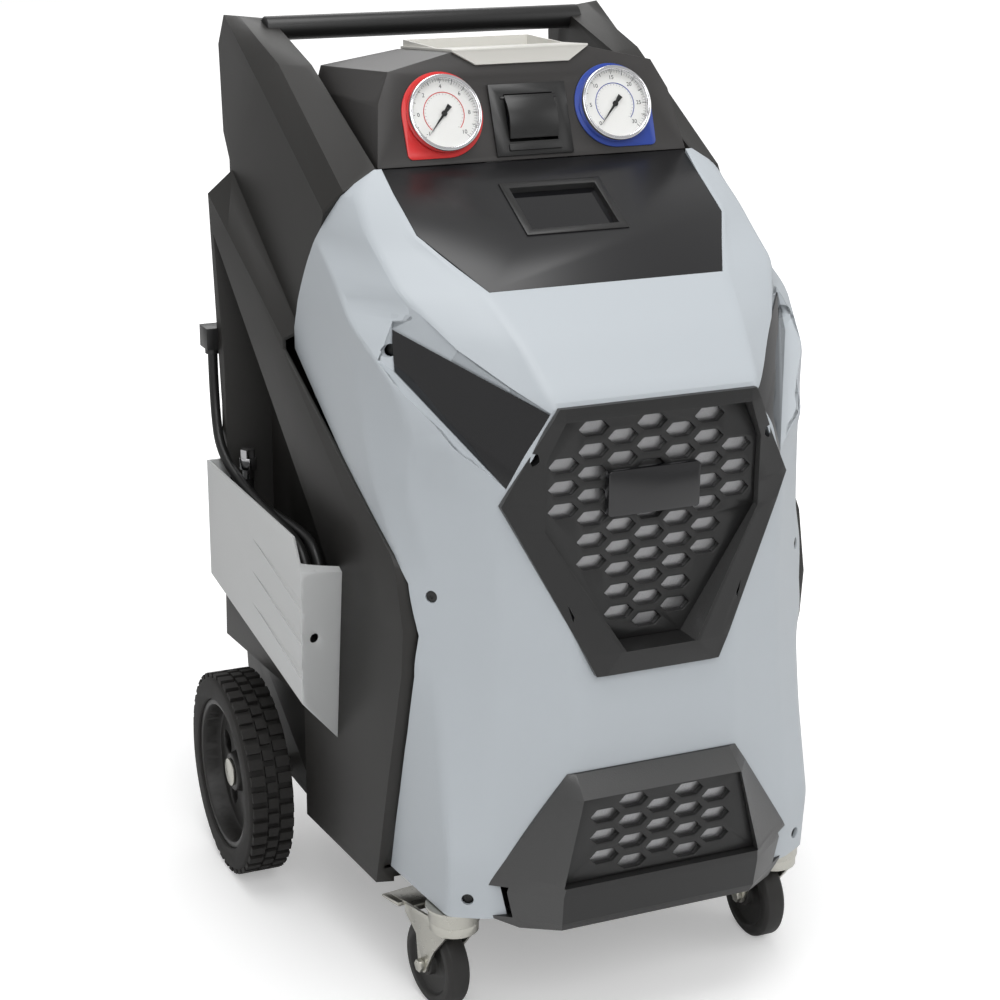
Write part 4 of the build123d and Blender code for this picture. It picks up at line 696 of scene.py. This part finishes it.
def recess_tool(side, wall):
    """The space of a shoulder recess; with a wall it is grown by that wall."""
    origin = RECESS_CORNERS[1]
    across = (RECESS_CORNERS[2] - origin).normalized()
    out = across.cross(RECESS_CORNERS[0] - origin).normalized()
    up = out.cross(across)
    form = bmesh.new()
    rings = []
    for height, outline in RECESS_LEVELS:
        ring = []
        for corner in outline:
            away = Vector(corner) - RECESS_CENTRE
            grown = RECESS_CENTRE + away * (1 + wall / away.length)
            place = origin + across * grown.x + up * grown.y + out * (height - wall)
            ring.append(form.verts.new(Vector((side * place.x, place.y, place.z)) * MM))
        rings.append(ring)
    close_rings(form, rings)
    return helper("recess_tool", form)


def screw_tool(place, side):
    """A round pocket for the head of a cover screw."""
    x, y, z, turn = place
    angle = math.radians(turn)
    out = Vector((side * math.sin(angle), -math.cos(angle), 0.0))
    form = bmesh.new()
    bmesh.ops.create_cone(form, cap_ends=True, segments=32, radius1=SCREW_SEAT_RADIUS * MM,
                          radius2=SCREW_SEAT_RADIUS * MM, depth=SCREW_TOOL_LENGTH * MM)
    turn_out = out.to_track_quat("Z", "Y").to_matrix().to_4x4()
    centre = Vector((side * x, y, z)) * MM + out * (SCREW_TOOL_LENGTH / 2 - SCREW_SEAT_DEPTH) * MM
    bmesh.ops.transform(form, matrix=Matrix.Translation(centre) @ turn_out, verts=form.verts)
    return helper("screw_tool", form)


def console_tool():
    """The opening for the lower console panel, square to that panel."""
    right = Vector((1.0, 0.0, 0.0))
    out = Vector((0.0, -math.sin(LOWER_SLOPE), math.cos(LOWER_SLOPE)))
    up = out.cross(right)
    form = bmesh.new()
    rings = []
    for height in CONSOLE_CUT:
        rings.append([form.verts.new(FOLD + (right * x + up * y + out * height) * MM)
                      for x, y in both_sides(CONSOLE_HALF)])
    close_rings(form, rings)
    return helper("console_tool", form)


def cover_mesh():
    """The moulded front cover with its folds, openings and shoulder recesses."""
    sheet = bpy.data.meshes.new("front_cover_sheet")
    form = cover_form(0.0, False)
    form.to_mesh(sheet)
    form.free()
    shell = applied("front_cover", sheet, ("SOLIDIFY", {"thickness": COVER_WALL * MM, "offset": -1.0}))
    recesses = [recess_tool(side, 0.0) for side in (-1, 1)]
    openings = [console_tool(), helper("grille_tool", prism(both_sides(GRILLE_HOLE), "Y", *FRONT_CUT)),
                helper("trim_tool", prism(both_sides(TRIM_HOLE), "Y", *FRONT_CUT))]
    openings += [screw_tool(place, side) for place in SCREW_PLACES for side in (-1, 1)]
    seam = helper("seam_tool", prism(COVER_SEAM, "X", -300, 300))
    shell = carved("front_cover", shell, "DIFFERENCE", *recesses, *openings)
    shell = carved("front_cover", shell, "INTERSECT", seam)
    whole = bmesh.new()
    whole.from_mesh(shell)
    for side, recess in zip((-1, 1), recesses):
        block = recess_tool(side, COVER_WALL)
        core = helper("cover_core", cover_form(LINER_INSET, True))
        liner = carved("liner", block.data.copy(), "INTERSECT", core)
        liner = carved("liner", liner, "DIFFERENCE", recess, *openings)
        whole.from_mesh(liner)
        discard(block, core)
    mesh = bpy.data.meshes.new("front_cover")
    whole.to_mesh(mesh)
    whole.free()
    discard(seam, *recesses, *openings)
    return crisp(mesh, 13.0)


class STATION_OT_covers(bpy.types.Operator):
    """Dress the front cover, the side shells, the hose bins and the rear panel"""
    bl_idname = "station.covers"
    bl_label = "Covers"

    def execute(self, context):
        size = sizes()
        mesh = cover_mesh()
        mesh.materials.clear()
        mesh.materials.append(FINISH["cover"])
        cover = new_piece("front_cover", mesh, "cabinet")
        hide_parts("front_fascia")
        for side in ("left", "right"):
            dress(f"side_shell_{side}", "side", size.shell_round, 24.0)
            dress(f"hose_bin_{side}", "white", size.trim_round, 24.0)
        dress("rear_panel", "side", size.metal_round)
        dress("cover_screws", "satin", 0.0003)
        return {"FINISHED"}


class STATION_OT_console(bpy.types.Operator):
    """Dress the console's hood, panels, tray, printer and screen"""
    bl_idname = "station.console"
    bl_label = "Console"

    def execute(self, context):
        size = sizes()
        dress("console_hood", "panel", size.trim_round)
        dress("console_panel", "screen_panel", size.metal_round)
        dress("top_tray", "tray", 0.0009)
        dress("printer_housing", "trim", size.metal_round)
        dress("printer_lid", "satin", size.metal_round)
        dress("screen_bezel", "trim", size.metal_round)
        paint("screen_glass", "display")
        return {"FINISHED"}


DIAL_RADIUS = 0.0385
DIAL_START = math.radians(225.0)
DIAL_SWEEP = math.radians(-270.0)
DIAL_LIFT = 0.0002
BOLD_TICKS = 13
BAND_BLOCKS = 90
INNER_TICKS = 28
FIGURE_SHARE = 0.76
FIGURE_HEIGHT = 0.0062
DIAL_FIGURES = {"left": ("-1", "0", "2", "4", "6", "8", "10"),
                "right": ("0", "5", "10", "15", "20", "25", "30")}


def dial_scale(side, size):
    """Ticks, coloured band and figures of a gauge, just above its dial."""
    low, high = node_box(f"gauge_dial_{side}")
    turn = Matrix.Rotation(math.radians(90.0) - UPPER_LEAN, 4, "X")
    out = turn.to_3x3() @ Vector((0.0, 0.0, 1.0))
    dial = frame["nodes"][f"gauge_dial_{side}"].data.vertices
    front = max(vertex.co.dot(out) for vertex in dial)
    middle = (low + high) / 2
    centre = middle + out * (front + DIAL_LIFT - middle.dot(out))
    tilt = turn.to_euler()
    ticks = size.tick_count
    band_ink = "red_ink" if side == "left" else "blue_ink"
    parts = []
    for name, ink, count, gaps, share, block in (
            ("fine_ticks", "ink", ticks + 1, ticks, 0.93, (0.0022, 0.00025, 0.0001)),
            ("bold_ticks", "ink", BOLD_TICKS, BOLD_TICKS - 1, 0.91, (0.0036, 0.0005, 0.00012)),
            ("inner_band", band_ink, BAND_BLOCKS, BAND_BLOCKS, 0.60, (0.0009, 0.0014, 0.0001)),
            ("inner_ticks", "ink", INNER_TICKS, INNER_TICKS - 1, 0.55, (0.0016, 0.0002, 0.0001))):
        parts.append(ring(name, ink, count, DIAL_RADIUS * share, DIAL_START, DIAL_SWEEP / gaps,
                          block, tilt, centre))
    figures = DIAL_FIGURES[side]
    for index, figure in enumerate(figures):
        angle = DIAL_START + DIAL_SWEEP * index / (len(figures) - 1)
        spoke = Vector((math.cos(angle), math.sin(angle), 0.0)) * DIAL_RADIUS * FIGURE_SHARE
        place = Matrix.Translation(centre + turn @ spoke) @ turn
        parts.append(figure_mesh(figure, FIGURE_HEIGHT, place))
    return joined(f"gauge_scale_{side}", parts)


def figure_mesh(text, height, place):
    """A generic number as a thin mesh, centred at a place."""
    curve = bpy.data.curves.new("figure", "FONT")
    curve.body = text
    curve.size = height
    curve.align_x = "CENTER"
    curve.align_y = "CENTER"
    curve.extrude = 0.00004
    holder = bpy.data.objects.new("figure", curve)
    bpy.context.scene.collection.objects.link(holder)
    graph = bpy.context.evaluated_depsgraph_get()
    mesh = bpy.data.meshes.new_from_object(holder.evaluated_get(graph))
    bpy.data.objects.remove(holder)
    mesh.transform(place)
    mesh.materials.clear()
    mesh.materials.append(FINISH["ink"])
    return mesh


class STATION_OT_gauges(bpy.types.Operator):
    """Dress the two pressure gauges and draw their scales"""
    bl_idname = "station.gauges"
    bl_label = "Gauges"

    def execute(self, context):
        size = sizes()
        for side, ink in (("left", "low"), ("right", "high")):
            dress(f"gauge_plate_{side}", ink, 0.0004)
            dress(f"gauge_case_{side}", "chrome", 0.0012)
            paint(f"gauge_dial_{side}", "dial")
            paint(f"gauge_needle_{side}", "satin")
            scale = new_piece(f"gauge_scale_{side}", dial_scale(side, size), "cabinet")
            scale.data.shade_flat()
        paint("gauge_lenses", "glass")
        return {"FINISHED"}


class STATION_OT_grilles(bpy.types.Operator):
    """Dress the grilles, their frames, the mesh, the plaque and the shoulder inlays"""
    bl_idname = "station.grilles"
    bl_label = "Grilles"

    def execute(self, context):
        size = sizes()
        for node in ("upper_grille_frame", "lower_trim"):
            piece = dress(node, "trim", size.trim_round, 16.0)
            # Faces that turn up to the front or out to the sides get the lighter finish: painted light
            # where the lamps fall on the black trim
            piece.data.materials.append(FINISH["lit_facet"])
            for face in piece.data.polygons:
                lit_top = face.normal.z > 0.25 and face.normal.y < -0.2
                if lit_top or abs(face.normal.x) > 0.45:
                    face.material_index = 1
        dress("upper_grille_insert", "trim", 0.0014)
        dress("lower_grille_insert", "trim", 0.0014)
        paint("grille_mesh", "mesh")
        dress("badge_plaque", "gloss", 0.0008)
        dress("shoulder_inlays", "gloss", 0.0004)
        return {"FINISHED"}


# Rows of lugs on a rear tyre: centre and width of each as shares of the tyre's width
LUG_ROWS = ((-0.30, 0.30), (0.0, 0.22), (0.30, 0.30))
LUG_DEPTH_SHARE = 1.6
LUG_LENGTH_SHARE = 0.62


def lugged_tyre(side, size):
    """A rear tyre with its tread lowered to the carcass and three rows of lugs on it."""
    low, high = node_box(f"rear_tyre_{side}")
    centre = (low + high) / 2
    radius = (high.z - low.z) / 2
    width = high.x - low.x
    carcass = radius - size.lug_height
    mesh = merged_copy(f"rear_tyre_{side}")
    for vertex in mesh.vertices:
        spoke = Vector((0.0, vertex.co.y - centre.y, vertex.co.z - centre.z))
        if spoke.length > carcass:
            vertex.co -= spoke * (1 - carcass / spoke.length)
    mesh = applied("tyre_carcass", mesh, ("BEVEL", {
        "width": 0.002, "segments": 2, "limit_method": "ANGLE", "angle_limit": math.radians(30.0)}))
    mesh.materials.clear()
    mesh.materials.append(FINISH["tyre"])
    turn = (0.0, math.radians(90.0), 0.0)
    pitch = 2 * math.pi / size.lug_count
    parts = [mesh]
    for row, (along, wide) in enumerate(LUG_ROWS):
        depth = size.lug_height * LUG_DEPTH_SHARE
        length = radius * pitch * LUG_LENGTH_SHARE
        corner = math.hypot(radius, length / 2) - radius
        parts.append(ring(f"lug_row_{row}", "tyre", size.lug_count, radius - corner - depth / 2,
                          pitch / 2 * (row % 2), pitch, (depth, length, width * wide), turn,
                          centre + Vector((along * width, 0.0, 0.0))))
    return crisp(joined(f"lugged_tyre_{side}", parts), 35.0)


class STATION_OT_wheels(bpy.types.Operator):
    """Dress the rear wheels, the axle and the casters"""
    bl_idname = "station.wheels"
    bl_label = "Wheels"

    def execute(self, context):
        size = sizes()
        for side in ("left", "right"):
            tyre = new_piece(f"lugged_tyre_{side}", lugged_tyre(side, size), BODY_OF[f"rear_tyre_{side}"])
            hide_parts(f"rear_tyre_{side}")
            dress(f"rear_rim_{side}", "rim", 0.0015)
            dress(f"caster_fork_{side}", "zinc", size.metal_round)
            dress(f"caster_wheel_{side}", "roller", 0.0012)
            dress(f"caster_bolt_{side}", "zinc", size.metal_round)
            dress(f"brake_pedal_{side}", "zinc", size.metal_round)
        dress("caster_mounts", "zinc", size.metal_round)
        dress("rear_axle", "zinc", size.metal_round)
        dress("base_tray", "side", size.metal_round)
        return {"FINISHED"}


# The hose in millimetres: its free run, the top of its upright end, and its coil in the left bin
HOSE_ROUTE = [(-278, 298, 619), (-278, 298, 553), (-286, 252, 506), (-269, 200, 470)]
HOSE_END = (-258, 234, 478)
HOSE_RISE_Z = 450
COIL_X = (-273.5, -258.5)
COIL_FRONT_Y = 27.0
COIL_REAR_Y = 177.0
COIL_MIDDLE_Z = 415.0
COIL_RADII = (56.0, 43.5)
BEND_STEPS = 6


def coil_turn(x, radius):
    """Points of one turn of the coil, from the top of its rear bend, forward and round."""
    points = []
    for centre_y, start in ((COIL_FRONT_Y, 90.0), (COIL_REAR_Y, 270.0)):
        for step in range(BEND_STEPS + 1):
            angle = math.radians(start + 180.0 * step / BEND_STEPS)
            points.append((x, centre_y + radius * math.cos(angle),
                           COIL_MIDDLE_Z + radius * math.sin(angle)))
    return points


def hose_points():
    """The whole hose: free run, four turns in the bin and the upright end under the coupler."""
    points = list(HOSE_ROUTE)
    for x, radius in ((COIL_X[0], COIL_RADII[0]), (COIL_X[0], COIL_RADII[1]),
                      (COIL_X[1], COIL_RADII[1]), (COIL_X[1], COIL_RADII[0])):
        points += coil_turn(x, radius)
    return points[:-(BEND_STEPS // 2)] + [(HOSE_END[0], HOSE_END[1], HOSE_RISE_Z), HOSE_END]


class STATION_OT_hose(bpy.types.Operator):
    """Make the service hose with its coil, and dress its coupler and port"""
    bl_idname = "station.hose"
    bl_label = "Hose"

    def execute(self, context):
        curve = bpy.data.curves.new("service_hose_line", "CURVE")
        curve.dimensions = "3D"
        spline = curve.splines.new("NURBS")
        points = hose_points()
        spline.points.add(len(points) - 1)
        for point, place in zip(spline.points, points):
            point.co = (*(Vector(place) * MM), 1.0)
        spline.order_u = 3
        spline.use_endpoint_u = True
        spline.resolution_u = 8
        curve.bevel_depth = sizes().hose_diameter / 2
        curve.bevel_resolution = 6
        curve.use_fill_caps = True
        curve.materials.append(FINISH["hose"])
        hose = bpy.data.objects.new("service_hose_line", curve)
        context.scene.collection.objects.link(hose)
        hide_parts("service_hose", "hose_coil")
        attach(hose, "cabinet")
        coupler = dress("hose_connector", "chrome", 0.0006)
        dress("hose_port", "satin", 0.001)
        return {"FINISHED"}


class STATION_OT_inside(bpy.types.Operator):
    """Give the inner machines, the handle and the inlet their finishes"""
    bl_idname = "station.inside"
    bl_label = "Inner machines"

    def execute(self, context):
        size = sizes()
        dress("handle_bar", "bar", size.metal_round)
        dress("power_inlet", "satin", 0.0005)
        dress("power_switch", "red_ink", 0.0005)
        for node, finish in (("inner_frame", "steel"), ("refrigerant_tank", "tank"),
                             ("scale_platform", "steel"), ("vacuum_pump", "iron"),
                             ("compressor", "iron"), ("condenser", "fin"), ("cooling_fan", "satin"),
                             ("valve_block", "brass")):
            paint(node, finish)
        return {"FINISHED"}


STEPS = (STATION_OT_finishes, STATION_OT_stage, STATION_OT_hose, STATION_OT_covers,
         STATION_OT_console, STATION_OT_gauges, STATION_OT_grilles, STATION_OT_wheels,
         STATION_OT_inside)


class STATION_PT_panel(bpy.types.Panel):
    """Lists the station's sizes, colours and steps."""
    bl_idname = "STATION_PT_panel"
    bl_label = "Recharge station"
    bl_space_type = "VIEW_3D"
    bl_region_type = "UI"
    bl_category = "Station"

    def draw(self, context):
        column = self.layout.column()
        for group in (context.scene.station_sizes, context.scene.station_colours):
            for name in group.bl_rna.properties.keys():
                if name not in ("rna_type", "name"):
                    column.prop(group, name)
        for step in STEPS:
            column.operator(step.bl_idname)


CLASSES = (StationSizes, StationColours, *STEPS, STATION_PT_panel)


def register():
    """Registers the station's classes and its properties."""
    for item in CLASSES:
        bpy.utils.register_class(item)
    bpy.types.Scene.station_sizes = bpy.props.PointerProperty(type=StationSizes)
    bpy.types.Scene.station_colours = bpy.props.PointerProperty(type=StationColours)


def unregister():
    """Removes what register added."""
    del bpy.types.Scene.station_colours
    del bpy.types.Scene.station_sizes
    for item in reversed(CLASSES):
        bpy.utils.unregister_class(item)


def main():
    """Dresses the station."""
    register()
    for step in STEPS:
        group, name = step.bl_idname.split(".")
        getattr(getattr(bpy.ops, group), name)()


if __name__ == "__main__":
    main()
